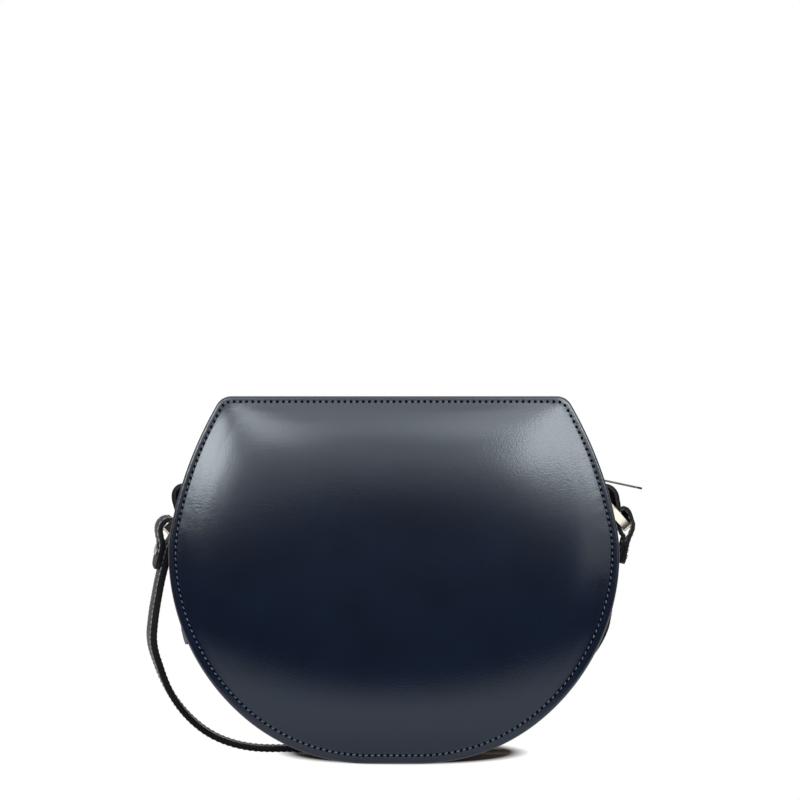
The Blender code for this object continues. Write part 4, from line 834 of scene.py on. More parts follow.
SHORT_ROUTE_SHARES = (
    (-0.220, 0.825, 0.7420), (-0.400, 0.810, 0.7220), (-0.600, 0.785, 0.6700), (-0.780, 0.765, 0.5850),
    (-0.890, 0.752, 0.4700), (-0.930, 0.745, 0.3500), (-0.852, 0.740, 0.2350), (-0.728, 0.735, 0.1350),
    (-0.565, 0.735, 0.0600), (-0.390, 0.735, 0.0335), (-0.150, 0.730, 0.0300), (0.120, 0.715, 0.0300),
    (0.360, 0.700, 0.0370), (0.580, 0.685, 0.0800), (0.745, 0.669, 0.1656), (0.866, 0.630, 0.2515),
    (0.932, 0.540, 0.3129), (0.964, 0.412, 0.3681), (0.976, 0.277, 0.4233), (0.986, 0.154, 0.4785),
    (0.989, 0.069, 0.5245), (0.995, 0.018, 0.5583), (1.0085, 0.000, 0.5860),
)
FOLD_SHARES = {
    "left": (
        (-0.20, -1.06), (-0.56, -0.50), (-0.78, 0.22), (-0.50, 0.84), (-0.06, 1.08), (0.48, 0.84),
        (0.80, 0.32), (0.78, -0.24), (0.66, -0.80),
    ),
    "right": (
        (-0.58, -1.00), (-0.52, -0.52), (-0.68, -0.08), (-0.78, 0.36), (-0.80, 0.80), (-0.72, 1.20),
        (-0.48, 1.64), (-0.08, 1.84), (0.26, 1.60), (0.50, 1.02), (0.63, 0.26), (0.44, -0.52),
        (0.10, -1.16),
    ),
}


# %% Smooth lines through places
def resampled(line, step):
    """The same line at equal steps of length."""
    lengths = run_lengths(line)
    at = np.linspace(0.0, lengths[-1], max(2, round(lengths[-1] / step) + 1))
    return np.stack([np.interp(at, lengths, line[:, i]) for i in range(line.shape[1])], axis=1)


def smooth_line(points, step):
    """Cubic pieces through the points: each is a blend of its ends' places and slopes."""
    points = np.asarray(points, float)
    knots = np.concatenate([[0.0], np.cumsum(np.sqrt(np.linalg.norm(np.diff(points, axis=0), axis=1)))])
    slopes = np.gradient(points, knots, axis=0)
    t = np.linspace(0.0, 1.0, 40, endpoint=False)[None, :, None]
    width = np.diff(knots)[:, None, None]
    a, b, c, d = (1 + 2 * t) * (1 - t) ** 2, t * (1 - t) ** 2, t * t * (3 - 2 * t), t * t * (t - 1)
    first, last = points[:-1, None], points[1:, None]
    curve = a * first + b * width * slopes[:-1, None] + c * last + d * width * slopes[1:, None]
    return resampled(np.vstack([curve.reshape(-1, points.shape[1]), points[-1:]]), step)


def strap_frames(line, lean=ACROSS):
    """Directions out of the flat side and across it: the lean less its part along the line.

    The lean is the direction that the strap's width would like to have, one or one for each place.
    """
    tangents = unit(np.gradient(line, axis=0))
    lean = np.broadcast_to(lean, line.shape)
    across = unit(lean - tangents * (tangents * lean).sum(axis=1)[:, None])
    return np.cross(across, tangents), across


def ring_pivot(word):
    """Where a ring turns, across and up."""
    place = pivots[f"{word}_ring_swing"]
    return np.array([place[0], place[2]])


def ring_reach(word):
    """The direction from a ring's pivot to its outer bar: outwards, and down by its drop."""
    drop = math.radians(DROP_DEGREES[word])
    return np.array([math.cos(drop) * (1 if word == "right" else -1), -math.sin(drop)])


def route(shares, word):
    """Places at real size, their heights scaled so that the leg hangs its drop below the ring's bar."""
    places = np.array(shares) * [BAG_WIDTH / 2, BAG_DEPTH, BAG_HEIGHT]
    bar = ring_pivot(word) + ring_reach(word) * RING_LENGTH
    places[:, 2] *= (bar[1] - LEG_DROPS[word]) / places[-1 if word == "right" else 0, 2]
    return places


def joined_strap(body, word):
    """Tail beside the body, fold round the ring's outer bar, then the body: its line and thickness."""
    side = 1.0 if word == "right" else -1.0
    fine = resampled(body, FOLD_STEP)
    normals, _ = strap_frames(fine)
    outward = normals * (1.0 if normals[0][0] * side > 0 else -1.0)
    count = round(FOLD_TAILS[word] / FOLD_STEP)
    tail = (fine[:count] + outward[:count] * (STRAP_THICK + GAP * 1.5))[::-1]
    bar = ring_pivot(word) + ring_reach(word) * RING_LENGTH
    out, up = np.array(FOLD_SHARES[word])[::-1].T * FOLD_REACH
    fold = np.column_stack([bar[0] + side * out, np.zeros(len(out)), bar[1] + up])
    beside = fine[: count + 5]
    rest = body[run_lengths(body) > run_lengths(beside)[-1] + STRAP_STEP / 2]
    bend = smooth_line(np.vstack([tail[-2:], fold, beside[:2]]), FOLD_STEP)
    line = np.vstack([tail[:-2], bend, beside[2:], rest])
    start = run_lengths(tail)[-1]
    end = start + run_lengths(np.vstack([tail[-1], fold, body[0]]))[-1]
    places = [start - STRAP_THICK, start + STRAP_THICK, end - STRAP_THICK, end + STRAP_THICK]
    thicks = [STRAP_THICK, FOLD_THICKS[word], FOLD_THICKS[word], STRAP_THICK]
    return line, np.interp(run_lengths(line), places, thicks)


# %% The two straps' lines
short_body = smooth_line(route(SHORT_ROUTE_SHARES, "right"), STRAP_STEP)
long_body = smooth_line(route(LONG_ROUTE_SHARES, "left"), STRAP_STEP)
long_body[:, 2] = np.maximum(long_body[:, 2], STRAP_THICK / 2 + GAP)
short_body[:, 2] = np.maximum(short_body[:, 2], STRAP_THICK * 1.5 + GAP * 3)
buckle_place = short_body[0]
buckle_along = (short_body[1] - short_body[0]) * [1.0, 0.0, 1.0]
buckle_along /= np.linalg.norm(buckle_along)
buckle_out = np.array([buckle_along[2], 0.0, -buckle_along[0]])
BAR_CLEAR = BUCKLE_WIRE / 2 + GAP + STRAP_THICK / 2
OVER_BAR = EYE_RADIUS + EYE_THICK + GAP * 3 + STRAP_THICK / 2


def long_strap_line():
    """Up from the ground, under the buckle's far bar, over its near bar, along the short strap."""
    fine = resampled(short_body, FOLD_STEP)
    normals, _ = strap_frames(fine)
    outward = normals * (1.0 if normals[0] @ buckle_out > 0 else -1.0)
    lengths = run_lengths(fine)
    keep = (lengths > BUCKLE_LENGTH) & (lengths <= TAIL_LENGTH)
    tail = resampled((fine + outward * (STRAP_THICK + GAP))[keep], STRAP_STEP / 2)
    local = np.array([
        (-BUCKLE_LENGTH * 2.2, -BAR_CLEAR / 2), (-BUCKLE_LENGTH * 1.4, -BAR_CLEAR * 1.1),
        (-BUCKLE_LENGTH, -BAR_CLEAR * 1.15), (-BUCKLE_LENGTH / 2, OVER_BAR / 8), (0.0, OVER_BAR),
        (BUCKLE_LENGTH / 2, OVER_BAR),
    ])
    crossing = buckle_place + local[:, :1] * buckle_along + local[:, 1:] * buckle_out
    bend = smooth_line(np.vstack([long_body[-3:], crossing, tail]), STRAP_STEP / 2)
    return joined_strap(np.vstack([long_body[:-3], bend]), "left")


def finer(line, thick, step=0.0014):
    """A closer, rounder version of a strap's line, eased with two passes of averaging."""
    lengths = run_lengths(line)
    close = smooth_line(line, step)
    for _ in range(2):
        close[1:-1] = 0.25 * close[:-2] + 0.5 * close[1:-1] + 0.25 * close[2:]
    return close, np.interp(run_lengths(close) / run_lengths(close)[-1], lengths / lengths[-1], thick)


shift = np.array([0.0, MIDDLE_Y, 0.0])
long_line, long_thick = finer(*long_strap_line())
short_line, short_thick = finer(*joined_strap(short_body[::-1], "right"))
long_line, short_line = long_line + shift, short_line + shift


def eased(values, low, high):
    """From 0 at low to 1 at high with level ends: t * t * (3 - 2 t)."""
    t = np.clip((values - low) / (high - low), 0.0, 1.0)
    return t * t * (3 - 2 * t)


def leaning(side, up, share):
    """A lean by side and up, as shares of the width, where share is 1, and none where it is 0."""
    return ACROSS + np.array([side, 0.0, up]) * share[:, None]


# %% How the hanging stretches lean
# The left strap's outer face shows and the right strap's inner face; left of HANG_END the strap hangs
HANG_END = -0.070
hangs = eased(long_line[:, 2], low=0.004, high=0.050) * (long_line[:, 0] < HANG_END)
long_lean = leaning(side=-0.20, up=0.10, share=hangs)
long_thick = long_thick + 0.0004 * hangs * eased(run_lengths(long_line), low=0.030, high=0.045)
# Above its ring's bar the right fold leans most and lies a little further in and lower. Below the
# bar it leans less, and past the fold's top it is moved outwards between two heights beside the bag.
ring_end = ring_pivot("right") + ring_reach("right") * RING_LENGTH
over_bar = eased(short_line[:, 2], ring_end[1] + 0.0005, ring_end[1] + 0.0045)
below_bar = eased(-short_line[:, 2], 0.003 - ring_end[1], 0.008 - ring_end[1]) * (short_line[:, 2] > 0.080)
short_lean = leaning(side=-0.36, up=-0.30, share=over_bar)
short_lean = short_lean + leaning(side=-0.12, up=0.0, share=below_bar)
short_line = short_line + np.array([-0.0016, 0.0, -0.0008]) * over_bar[:, None]
drawn_in = eased(short_line[:, 2], 0.089, 0.095) * eased(-short_line[:, 2], -0.1030, -0.0995)
inner_side = np.arange(len(short_line)) > np.argmax(np.diff(short_line[:, 2]) < 0)
short_line[:, 0] += drawn_in * np.where(inner_side, 0.0015, 0.0)
print("strap lengths", round(run_lengths(long_line)[-1], 3), round(run_lengths(short_line)[-1], 3))

# %% [markdown]
# ## Strap leather
# The strap is two layers sewn along both edges, so it is plump in the middle, pinched at the stitch
# lines and round at its painted edges. That section is carried along the line. The pieces that fold
# round the rings are made apart from the rest, and the cut between pieces lies where two flat ends meet.

# %% The strap's section and skin
SECTION = np.array([
    (-1.00, -0.30), (-0.985, -0.46), (-0.94, -0.50), (-0.84, -0.47), (-0.76, -0.43), (-0.68, -0.47),
    (-0.45, -0.50), (0.0, -0.50), (0.45, -0.50), (0.68, -0.47), (0.76, -0.43), (0.84, -0.47),
    (0.94, -0.50), (0.985, -0.46), (1.00, -0.30), (1.00, 0.30), (0.985, 0.46), (0.94, 0.50),
    (0.84, 0.47), (0.76, 0.43), (0.68, 0.47), (0.45, 0.50), (0.0, 0.50), (-0.45, 0.50),
    (-0.68, 0.47), (-0.76, 0.43), (-0.84, 0.47), (-0.94, 0.50), (-0.985, 0.46), (-1.00, 0.30),
])
SECTION_PAINT = (np.abs(SECTION[:, 0]) > 0.96).astype(float)


def strap_rows(line, thick, width, lean):
    """Rows of the section: across by half the width, out by the thickness, at each place."""
    normals, across = strap_frames(line, lean)
    half = np.broadcast_to(np.asarray(width) / 2, len(line))[:, None, None]
    out = np.broadcast_to(thick, len(line))[:, None, None]
    rows = line[:, None] + across[:, None] * half * SECTION[None, :, :1]
    return rows + normals[:, None] * out * SECTION[None, :, 1:]


def strap_skin(name, line, thick, width, lean):
    """The section carried along a line as one closed piece with painted edges."""
    made = skinned(name, strap_rows(line, thick, width, lean), STRAP_LEATHER, sharp=55.0)
    paint_edges(made, np.tile(SECTION_PAINT, len(line)))
    return made


TIP_CUT, TIP_REACH, TAIL_CUT, TAIL_REACH = 0.0044, 0.0022, 0.0050, 0.0030


def strap_piece(name, line, thick, lean, tip=False, tail_start=False):
    """A stretch of strap; its tip has straight chamfers, and a folded end's tail has round ones."""
    lengths = run_lengths(line)
    width = np.full(len(line), STRAP_WIDTH)
    if tip:
        width = width - TIP_CUT * np.clip(1 - (lengths[-1] - lengths) / TIP_REACH, 0, 1)
    if tail_start:
        width = width - TAIL_CUT * np.clip(1 - lengths / TAIL_REACH, 0, 1) ** 2
    return strap_skin(name, line, thick, width, lean)


# %% Thread along the strap's edges
STRAP_STITCH = {"pitch": 0.0026, "radius": 0.00025, "lean": 0.00016, "fill": 0.74}
SEAM_ACROSS, SEAM_OUT = 0.38, 0.436


def strap_stitches(name, line, thick, lean, rise, first, last):
    """Light thread along both edges and on both faces, from the first to the last place of a line.

    The seam lies at line + across * SEAM_ACROSS of the width + out * SEAM_OUT of the thickness.
    """
    normals, across = strap_frames(line, lean)
    thick = np.broadcast_to(thick, len(line))[:, None]
    parts = []
    for edge in (-1.0, 1.0):
        for face in (-1.0, 1.0):
            path = line + across * edge * STRAP_WIDTH * SEAM_ACROSS + normals * face * thick * SEAM_OUT
            out = normals * face
            tubes, _, _ = stitch_points(path[first:last], out[first:last], rise=rise, **STRAP_STITCH)
            parts.append(tubes)
    return tubes_piece(name, np.concatenate(parts), STRAP_THREAD)


# %% Cutting each strap where its bend ends
left_cut = int(np.argmax((long_line[:, 0] > HANG_END) & (long_line[:, 2] < 0.01)))
right_cut = int(np.argmax((short_line[:, 1] > MIDDLE_Y + 0.040) & (short_line[:, 2] < 0.06)))


def stretch(name, strap, cut, first, rise, **ends):
    """The leather and the thread on one side of a strap's cut: the first side, or else the second."""
    part = slice(0, cut + 1) if first else slice(cut, None)
    leather_piece = strap_piece(name, *(values[part] for values in strap), **ends)
    span = (5, cut + 1) if first else (cut, -4)
    return leather_piece, strap_stitches(f"{name}_stitches", *strap, rise, *span)


long_strap = long_line, long_thick, long_lean
short_strap = short_line, short_thick, short_lean
left_bend, left_threads = stretch(
    "strap_left_bend", long_strap, left_cut, first=True, rise=0.00022, tail_start=True,
)
left_rest, left_rest_threads = stretch(
    "strap_left_rest", long_strap, left_cut, first=False, rise=0.00022, tip=True,
)
right_bend, right_threads = stretch(
    "strap_right_bend", short_strap, right_cut, first=True, rise=0.00012, tail_start=True,
)
right_rest, right_rest_threads = stretch(
    "strap_right_rest", short_strap, right_cut, first=False, rise=0.00020,
)
print("strap cuts", left_cut, right_cut, "of", len(long_line), len(short_line))


# %% Holes for the prong and the shorter settings
def bored(piece, tools):
    """Cut the tools out of a piece and keep the result as its mesh."""
    for number, tool in enumerate(tools):
        change = piece.modifiers.new(f"bore_{number}", "BOOLEAN")
        change.operation, change.object, change.solver = "DIFFERENCE", tool, "EXACT"
    bpy.context.view_layer.update()
    result = bpy.data.meshes.new_from_object(piece.evaluated_get(bpy.context.evaluated_depsgraph_get()))
    piece.modifiers.clear()
    piece.data = result
    for tool in tools:
        bpy.data.objects.remove(tool, do_unlink=True)
    return piece


def punch(place, out, across, wide, long, deep=0.004, sides=20):
    """A round or oval punch: a ring at place, carried along out, the strap's normal, both ways."""
    ring = oval(across, np.cross(out, across), wide, long, sides)
    return skinned("punch", np.stack([place + ring + out * h for h in (-deep, deep)]), STRAP_LEATHER)


PRONG_REST = BUCKLE_WIRE / 2 + GAP + 0.0006
HOLE_PITCH, HOLE_SIZE, PRONG_HOLE_SIZE = 0.0180, (0.0014, 0.0014), (0.0015, 0.0045)
place = buckle_place + shift
runs, heights = (long_line - place) @ buckle_along, (long_line - place) @ buckle_out
near = (np.abs(runs) < BUCKLE_LENGTH / 2) & (np.arange(len(long_line)) > len(long_line) // 2)
crossing = int(np.where(near, np.abs(heights - PRONG_REST), 1.0).argmin())
long_normals, long_across = strap_frames(long_line)
long_lengths = run_lengths(long_line)
tools = []
for number in range(-2, 3):
    index = int(np.argmin(np.abs(long_lengths - long_lengths[crossing] - number * HOLE_PITCH)))
    size = PRONG_HOLE_SIZE if number == 0 else HOLE_SIZE
    tools.append(punch(long_line[index], long_normals[index], long_across[index], *size))
bored(left_rest, tools)
print("strap holes", len(tools), "faces", len(left_rest.data.polygons))

# %% Strap pieces: the rests ride with the bag, and the bends keep their place
for made in (left_rest, right_rest, left_rest_threads, right_rest_threads):
    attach(made, "bag")
for made in (left_bend, left_threads):
    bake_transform(made)
for made in (right_bend, right_threads):
    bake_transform(made)
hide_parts("strap_long")
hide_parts("strap_long")
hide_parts("strap_short")
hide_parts("strap_short")


# %% [markdown]
# ## The buckle's eye
# The short strap ends in an eye round the buckle's bar: thin leather turned back on itself, with a
# slot in the middle where the prong hangs. It is a closed ring of leather carried across the width
# in two cheeks.

# %% The folded eye
EYE_SOFT, EYE_SLOT, BORE_REACH = 0.0003, 0.0015, 0.008


def eye_cheek(name, start, end):
    """A ring of leather round the bar from one depth to another, with softened outer edges.

    Each row is an even circle about the bar, at one of the section's radii and depths.
    """
    inner, outer = EYE_RADIUS, EYE_RADIUS + EYE_THICK
    section = (
        (inner, start), (outer - EYE_SOFT, start), (outer, start + EYE_SOFT), (outer, end - EYE_SOFT),
        (outer - EYE_SOFT, end), (inner, end),
    )
    rows = [
        place + oval(buckle_along, buckle_out, radius, radius, 28) + ACROSS * depth
        for radius, depth in section
    ]
    made = skinned(name, rows, STRAP_LEATHER, caps="round")
    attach(made, "bag")
    return made


eyes = [
    eye_cheek("strap_eye_front", -STRAP_WIDTH / 2, -EYE_SLOT),
    eye_cheek("strap_eye_back", EYE_SLOT, STRAP_WIDTH / 2),
]
wide_slot = punch(place + buckle_along * EYE_SLOT, buckle_out, ACROSS, EYE_SLOT, 0.0042, 0.003)
bore_ring = place + oval(buckle_along, buckle_out, EYE_RADIUS, EYE_RADIUS, 24)
bore = skinned("bore", [bore_ring + ACROSS * y for y in (-BORE_REACH, BORE_REACH)], STRAP_LEATHER)
bored(right_rest, [wide_slot, bore])
print("eye cheeks", [len(e.data.polygons) for e in eyes])


# %% [markdown]
# ## Side loops and keepers
# A side loop is a tab of the same leather: it comes out of the seam, hangs over and turns under the
# ring's bar, and its end is sewn to the gusset. The keepers are narrow bands round both straps.

# %% The side loops
LOOP_SHARES = {
    "left": ((0.970, 0.6985), (0.977, 0.7190), (0.974, 0.7370), (0.955, 0.7500), (0.928, 0.7520)),
    "right": ((0.992, 0.7110), (0.986, 0.7290), (0.971, 0.7430), (0.948, 0.7510), (0.926, 0.7520)),
}
LOOP_WIDTH, LOOP_FOOT, LOOP_DROP, LOOP_TUCK, LOOP_STEP = 0.0122, 0.0080, 0.0055, 0.0042, 0.0008
LOOP_LEANS = {"left": 0.19, "right": -0.19}


def loop_line(word):
    """Foot on the wall, turn round the bar and tuck into the seam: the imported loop's own places.

    The turn is an arc about the ring's pivot that just clears the bar's corners.
    """
    side = 1.0 if word == "right" else -1.0
    pivot = ring_pivot(word) * [side, 1.0]
    turn = math.hypot(RING_BAR, RING_TALL) / 2 + GAP + LOOP_THICK / 2
    high = length_at_height(pivot[1] - LOOP_DROP)
    foot = np.array([high - LOOP_FOOT, high - LOOP_FOOT / 2, high])
    points = list(on_track(foot, WALL_INSET - GAP - LOOP_THICK / 2)[0])
    for angle in np.radians([-45.0, -10.0]):
        points.append(pivot + turn * np.array([math.cos(angle), math.sin(angle)]))
    points += [np.array([out * BAG_WIDTH / 2, up * BAG_HEIGHT]) for out, up in LOOP_SHARES[word]]
    for inset in (WALL_INSET - LOOP_THICK / 2, WALL_INNER, WALL_INNER + LOOP_TUCK):
        points.append(on_track(np.array([SEAM_LENGTH]), inset)[0][0])
    return smooth_line(in_space(np.array(points) * [side, 1.0], 0.0), LOOP_STEP)


for word in ("left", "right"):
    line = loop_line(word)
    bulge = np.sin(np.linspace(0.0, math.pi, len(line))) ** 2
    lean = leaning(side=LOOP_LEANS[word], up=-0.05, share=bulge)
    loop = strap_skin(f"{word}_loop_leather", line, LOOP_THICK, LOOP_WIDTH, lean)
    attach(loop, "bag")
    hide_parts(f"{word}_side_loop")
print("loops made")


# %% Bands and frames
def rounded_rectangle(low, high, radius, steps):
    """Corners as quarter circles, anticlockwise, from a low to a high corner in two dimensions."""
    (left, bottom), (right, top) = low + radius, high - radius
    corners = (right, top), (left, top), (left, bottom), (right, bottom)
    turns = np.linspace(0.0, math.pi / 2, steps + 1)
    return np.vstack([
        np.stack([x + radius * np.cos(first + turns), y + radius * np.sin(first + turns)], axis=1)
        for (x, y), first in zip(corners, np.arange(4) * math.pi / 2)
    ])


def frame_rows(outer, inner, low, high, soft):
    """A closed band between two outlines: rows round its section, with softened edges."""
    centre = outer.mean(axis=0)

    def grown(outline, change):
        """The outline moved away from the centre by the change."""
        away = outline - centre
        return outline + change * away / np.linalg.norm(away, axis=1)[:, None]

    rows = []
    for outline, height in (
        (grown(outer, -soft), low), (outer, low + soft), (outer, high - soft), (grown(outer, -soft), high),
        (grown(inner, soft), high), (inner, high - soft), (inner, low + soft), (grown(inner, soft), low),
    ):
        rows.append(np.column_stack([outline, np.full(len(outline), height)]))
    return np.array(rows)


def placed(rows, origin, x_axis, y_axis):
    """Rows in local X, Y and Z put at an origin along two directions and their cross product."""
    z_axis = np.cross(x_axis, y_axis)
    return origin + rows[..., :1] * x_axis + rows[..., 1:2] * y_axis + rows[..., 2:] * z_axis


# %% The keepers
KEEPER_HALF, KEEPER_THICK, KEEPER_PLAY, KEEPER_SOFT = 0.0035, 0.0014, 0.0004, 0.0004
KEEPER_CORNER, KEEPER_STEPS = 0.0005, 5
for word, along_strap in (("fixed", 0.0150), ("sliding", 0.0400)):
    lengths = run_lengths(short_body)
    at = EYE_RADIUS + EYE_THICK + along_strap
    reach = np.array([at - KEEPER_HALF, at + KEEPER_HALF])
    ends = np.stack([np.interp(reach, lengths, short_body[:, i]) for i in range(3)], axis=1)
    along = unit(ends[1] - ends[0])
    across = unit(ACROSS - along * along[1])
    out = np.cross(along, across)
    if out @ buckle_out < 0:
        out, across = -out, -across
    low = np.array([-STRAP_THICK / 2, -STRAP_WIDTH / 2]) - KEEPER_PLAY
    high = np.array([STRAP_THICK * 1.5 + GAP, STRAP_WIDTH / 2]) + KEEPER_PLAY
    outer = rounded_rectangle(low - KEEPER_THICK, high + KEEPER_THICK, KEEPER_THICK, KEEPER_STEPS)
    inner = rounded_rectangle(low, high, KEEPER_CORNER, KEEPER_STEPS)
    rows = frame_rows(outer, inner, -KEEPER_HALF, KEEPER_HALF, KEEPER_SOFT)
    rows = placed(rows, ends.mean(axis=0) + shift, out, across)
    keeper = skinned(f"{word}_keeper_leather", rows, STRAP_LEATHER, caps="round", sharp=50.0)
    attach(keeper, "bag")
    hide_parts(f"{word}_keeper")
print("keepers made")

# %% [markdown]
# ## Metal
# The rings are slices of rectangular tube with a narrow bright bevel round both rims. A bevel only a
# fifth of a millimetre wide is what draws the light line along the ring's edge, so it is modelled.


# %% The rings
RING_OUTER_CORNER, RING_INNER_CORNER, RING_BEVEL, RING_STEPS = 0.0012, 0.0004, 0.00022, 6


def make_ring(word):
    """Rounded rectangle tube slice: outer and inner outline, with a bevelled rim on both faces."""
    half, bar = RING_INNER / 2, RING_BAR / 2
    low, high = np.array([-bar, -half - RING_BAR]), np.array([RING_LENGTH + bar, half + RING_BAR])
    outer = rounded_rectangle(low, high, RING_OUTER_CORNER, RING_STEPS)
    low, high = np.array([bar, -half]), np.array([RING_LENGTH - bar, half])
    inner = rounded_rectangle(low, high, RING_INNER_CORNER, RING_STEPS)
    rows = frame_rows(outer, inner, -RING_TALL / 2, RING_TALL / 2, RING_BEVEL)
    reach = ring_reach(word)
    rows = placed(rows, pivots[f"{word}_ring_swing"], np.array([reach[0], 0.0, reach[1]]), ACROSS)
    made = skinned(f"{word}_ring_metal", rows, FITTING_METAL, caps="round", sharp=25.0)
    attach(made, f"{word}_ring")
    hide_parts(f"{word}_ring")
    return made


rings = [make_ring("left"), make_ring("right")]


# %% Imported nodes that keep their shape
FINISHES = (
    (FITTING_METAL, ("zip_slider", "zip_puller", "buckle_frame", "buckle_prong")),
    (FITTING_METAL, ("left_rivet", "right_rivet")),
    (TOOTH_METAL, ("front_zip_teeth", "back_zip_teeth", "front_zip_stop", "back_zip_stop", "zip_end_stop")),
    (BOARD_FIBRE, ("front_board", "back_board", "gusset_board")),
)
for finish, nodes in FINISHES:
    for node in nodes:
        mesh = frame["nodes"][node].data
        mesh.materials.clear()
        mesh.materials.append(finish)
print("metal and board dressed")

# %% [markdown]
# ## Studio
# The photograph is taken from far away and level with the top of the bag, on a white floor against
# white. Here the camera sees plain white everywhere but in an oval patch of shade under the bag.
# Reflections see another studio: a floor that is pale near the bag and dark towards the camera, a
# world that is bright behind the bag and dark in front, and a few soft boxes, so the middle of the
# panel stays deep and its edges pick up the light.

# %% The floor
FRONT_Y = MIDDLE_Y - HALF_DEPTH
FLOOR_SIDE, FLOOR_FRONT, FLOOR_REAR = 0.45, FRONT_Y - 0.32, 1.0
FLOOR_DARK, FLOOR_PALE, PALENESS = FRONT_Y - 0.30, FRONT_Y - 0.11, 0.85
# The oval's dark floor colour is painted shadow: the bag's real shadow falls on it, and its fade to white
# gives the shadow soft ends
SHADE_COLOUR = (0.26, 0.225, 0.20, 1.0)
SHADE_X, SHADE_Y, SHADE_FLATNESS, SHADE_IN, SHADE_OUT = 0.004, FRONT_Y + 0.075, 0.70, 0.049, 0.058


def make_floor():
    """A matt sheet: to the camera a dark oval of painted shadow on plain white, and to other rays pale, dark
    in front.

    The oval's measure is the length of (x, flatness * y) from its middle, and the white comes in
    evenly from SHADE_IN to SHADE_OUT.
    """
    made, tree, shader = new_material("studio_floor")
    tree.nodes.remove(shader)
    place = object_place(tree)
    to_camera = add_node(tree, "LightPath").outputs["Is Camera Ray"]
    depth = add_node(tree, "SeparateXYZ", {"Vector": place}).outputs["Y"]
    pale = ranged(tree, depth, FLOOR_DARK, FLOOR_PALE, high=PALENESS)
    matt = add_node(tree, "BsdfDiffuse", {"Color": mixed(tree, to_camera, pale, SHADE_COLOUR)})
    middle = (-SHADE_X, -SHADE_FLATNESS * SHADE_Y, 0.0)
    flat = {0: place, 1: (1.0, SHADE_FLATNESS, 1.0), 2: middle}
    patch = add_node(tree, "VectorMath", flat, operation="MULTIPLY_ADD").outputs["Vector"]
    away = add_node(tree, "VectorMath", {0: patch}, operation="LENGTH").outputs["Value"]
    white_share = maths(tree, "MULTIPLY", to_camera, ranged(tree, away, SHADE_IN, SHADE_OUT))
    white = add_node(tree, "Emission")
    both = {0: white_share, 1: matt.outputs["BSDF"], 2: white.outputs["Emission"]}
    seen = add_node(tree, "MixShader", both)
    feed(tree, tree.nodes["Material Output"], {"Surface": seen.outputs["Shader"]})
    corners = [
        (-FLOOR_SIDE, FLOOR_FRONT, 0.0), (FLOOR_SIDE, FLOOR_FRONT, 0.0),
        (FLOOR_SIDE, FLOOR_REAR, 0.0), (-FLOOR_SIDE, FLOOR_REAR, 0.0),
    ]
    mesh = bpy.data.meshes.new("studio_floor")
    mesh.from_pydata(corners, [], [[0, 1, 2, 3]])
    mesh.materials.append(made)
    floor = bpy.data.objects.new("studio_floor", mesh)
    bpy.context.collection.objects.link(floor)


make_floor()

# %% The world
WORLD_LIGHT, WORLD_DARK, WORLD_BRIGHT = 0.35, 0.02, 0.55


def make_world():
    """White to the camera; to reflections bright behind the bag, dark in front; plain to the rest."""
    world = bpy.data.worlds.new("studio_world")
    world.use_nodes = True
    tree = world.node_tree
    ray = add_node(tree, "TexCoord").outputs["Generated"]
    depth = add_node(tree, "SeparateXYZ", {"Vector": ray}).outputs["Y"]
    reflected = ranged(tree, depth, -0.30, 0.60, WORLD_DARK, WORLD_BRIGHT)
    path = add_node(tree, "LightPath").outputs
    shiny = maths(tree, "MAXIMUM", path["Is Glossy Ray"], path["Is Transmission Ray"])
    unseen = add_node(tree, "Mix", {0: shiny, 2: WORLD_LIGHT, 3: reflected}).outputs[0]
    strength = maths(tree, "MAXIMUM", path["Is Camera Ray"], unseen)
    feed(tree, tree.nodes["Background"], {"Color": (1.0, 1.0, 1.0, 1.0), "Strength": strength})
    bpy.context.scene.world = world


make_world()

# %% The lamps
LAMP_AIM = Vector((0.0, FRONT_Y, 0.10))
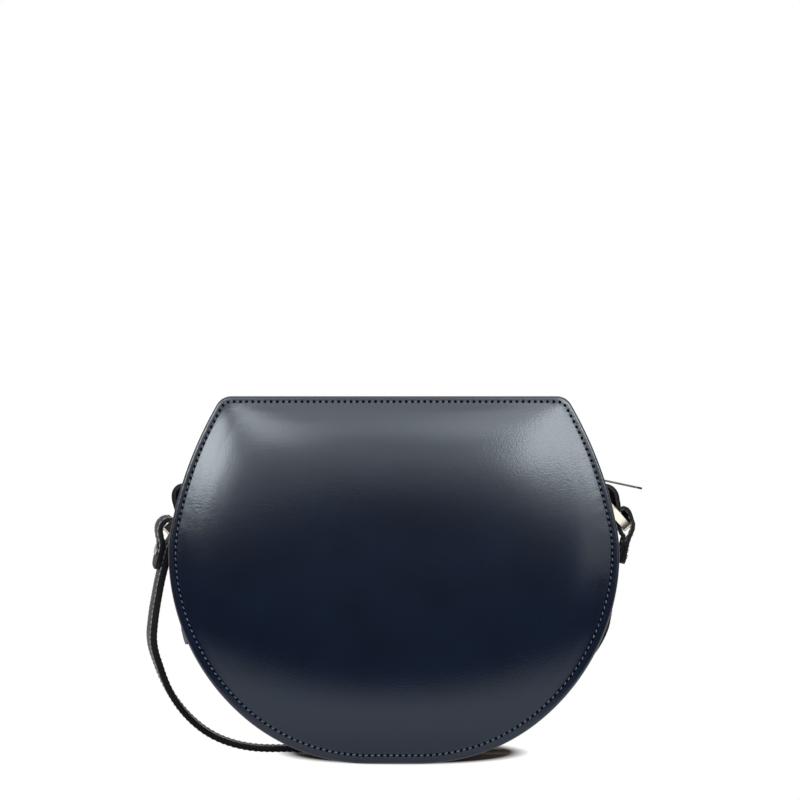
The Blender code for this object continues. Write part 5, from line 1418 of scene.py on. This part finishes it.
# Each soft box: degrees to the side and up, distance, width and height in metres, and brightness
LAMPS = {
    "top_box": (0.0, 21.5, 2.0, 1.8, 0.60, 2.5),
    "upper_box": (0.0, 9.0, 2.0, 1.8, 0.28, 1.5),
    "low_box": (0.0, 3.2, 2.0, 1.8, 0.12, 0.85),
    "left_box": (-20.5, 9.6, 2.0, 0.53, 0.33, 8.8),
    "left_edge_box": (-18.5, 5.2, 2.0, 0.20, 0.07, 8.0),
    "left_corner_box": (-8.0, 12.8, 2.0, 0.22, 0.22, 5.4),
    "right_box": (16.2, 9.5, 2.0, 0.69, 0.32, 8.2),
    "right_corner_box": (6.0, 16.0, 2.0, 0.28, 0.34, 1.9),
    "right_low_box": (22.0, -1.0, 2.0, 0.42, 0.20, 1.0),
    "over_box": (0.0, 80.0, 1.8, 2.0, 2.0, 2.0),
    "ring_card": (5.5, -1.4, 2.3, 0.30, 0.30, 1.5),
}


def lamp(name, side, up, away, width, height, brightness):
    """A soft box aimed at the bag; its energy is brightness * pi * its area.

    It stands at the aim plus away * (sin side * cos up, -cos side * cos up, sin up).
    """
    side, up = math.radians(side), math.radians(up)
    towards = Vector((math.sin(side) * math.cos(up), -math.cos(side) * math.cos(up), math.sin(up)))
    place = LAMP_AIM + away * towards
    light = bpy.data.lights.new(name, "AREA")
    light.shape, light.size, light.size_y = "RECTANGLE", width, height
    light.energy = brightness * math.pi * width * height
    made = bpy.data.objects.new(name, light)
    made.location = place
    made.rotation_euler = (LAMP_AIM - place).to_track_quat("-Z", "Y").to_euler()
    bpy.context.collection.objects.link(made)
    return made


lamps = {name: lamp(name, *values) for name, values in LAMPS.items()}
# The card lights the right ring's face and nothing else
polished = bpy.data.collections.new("polished_by_the_card")
polished.objects.link(rings[1])
lamps["ring_card"].light_linking.receiver_collection = polished
print("lamps", len(lamps))

# %% The camera
CAMERA_X, CAMERA_AWAY, CAMERA_HEIGHT, CAMERA_LENS = 0.00266, 2.2, 0.1613, 223.4
camera_data = bpy.data.cameras.new("photo_camera")
camera_data.sensor_width, camera_data.lens = 36.0, CAMERA_LENS
camera_data.clip_end = 20.0
camera = bpy.data.objects.new("photo_camera", camera_data)
camera.location = (CAMERA_X, FRONT_Y - CAMERA_AWAY, CAMERA_HEIGHT)
camera.rotation_euler = (math.pi / 2, 0.0, 0.0)
bpy.context.collection.objects.link(camera)
bpy.context.scene.camera = camera
bpy.context.scene.view_settings.view_transform = "Standard"
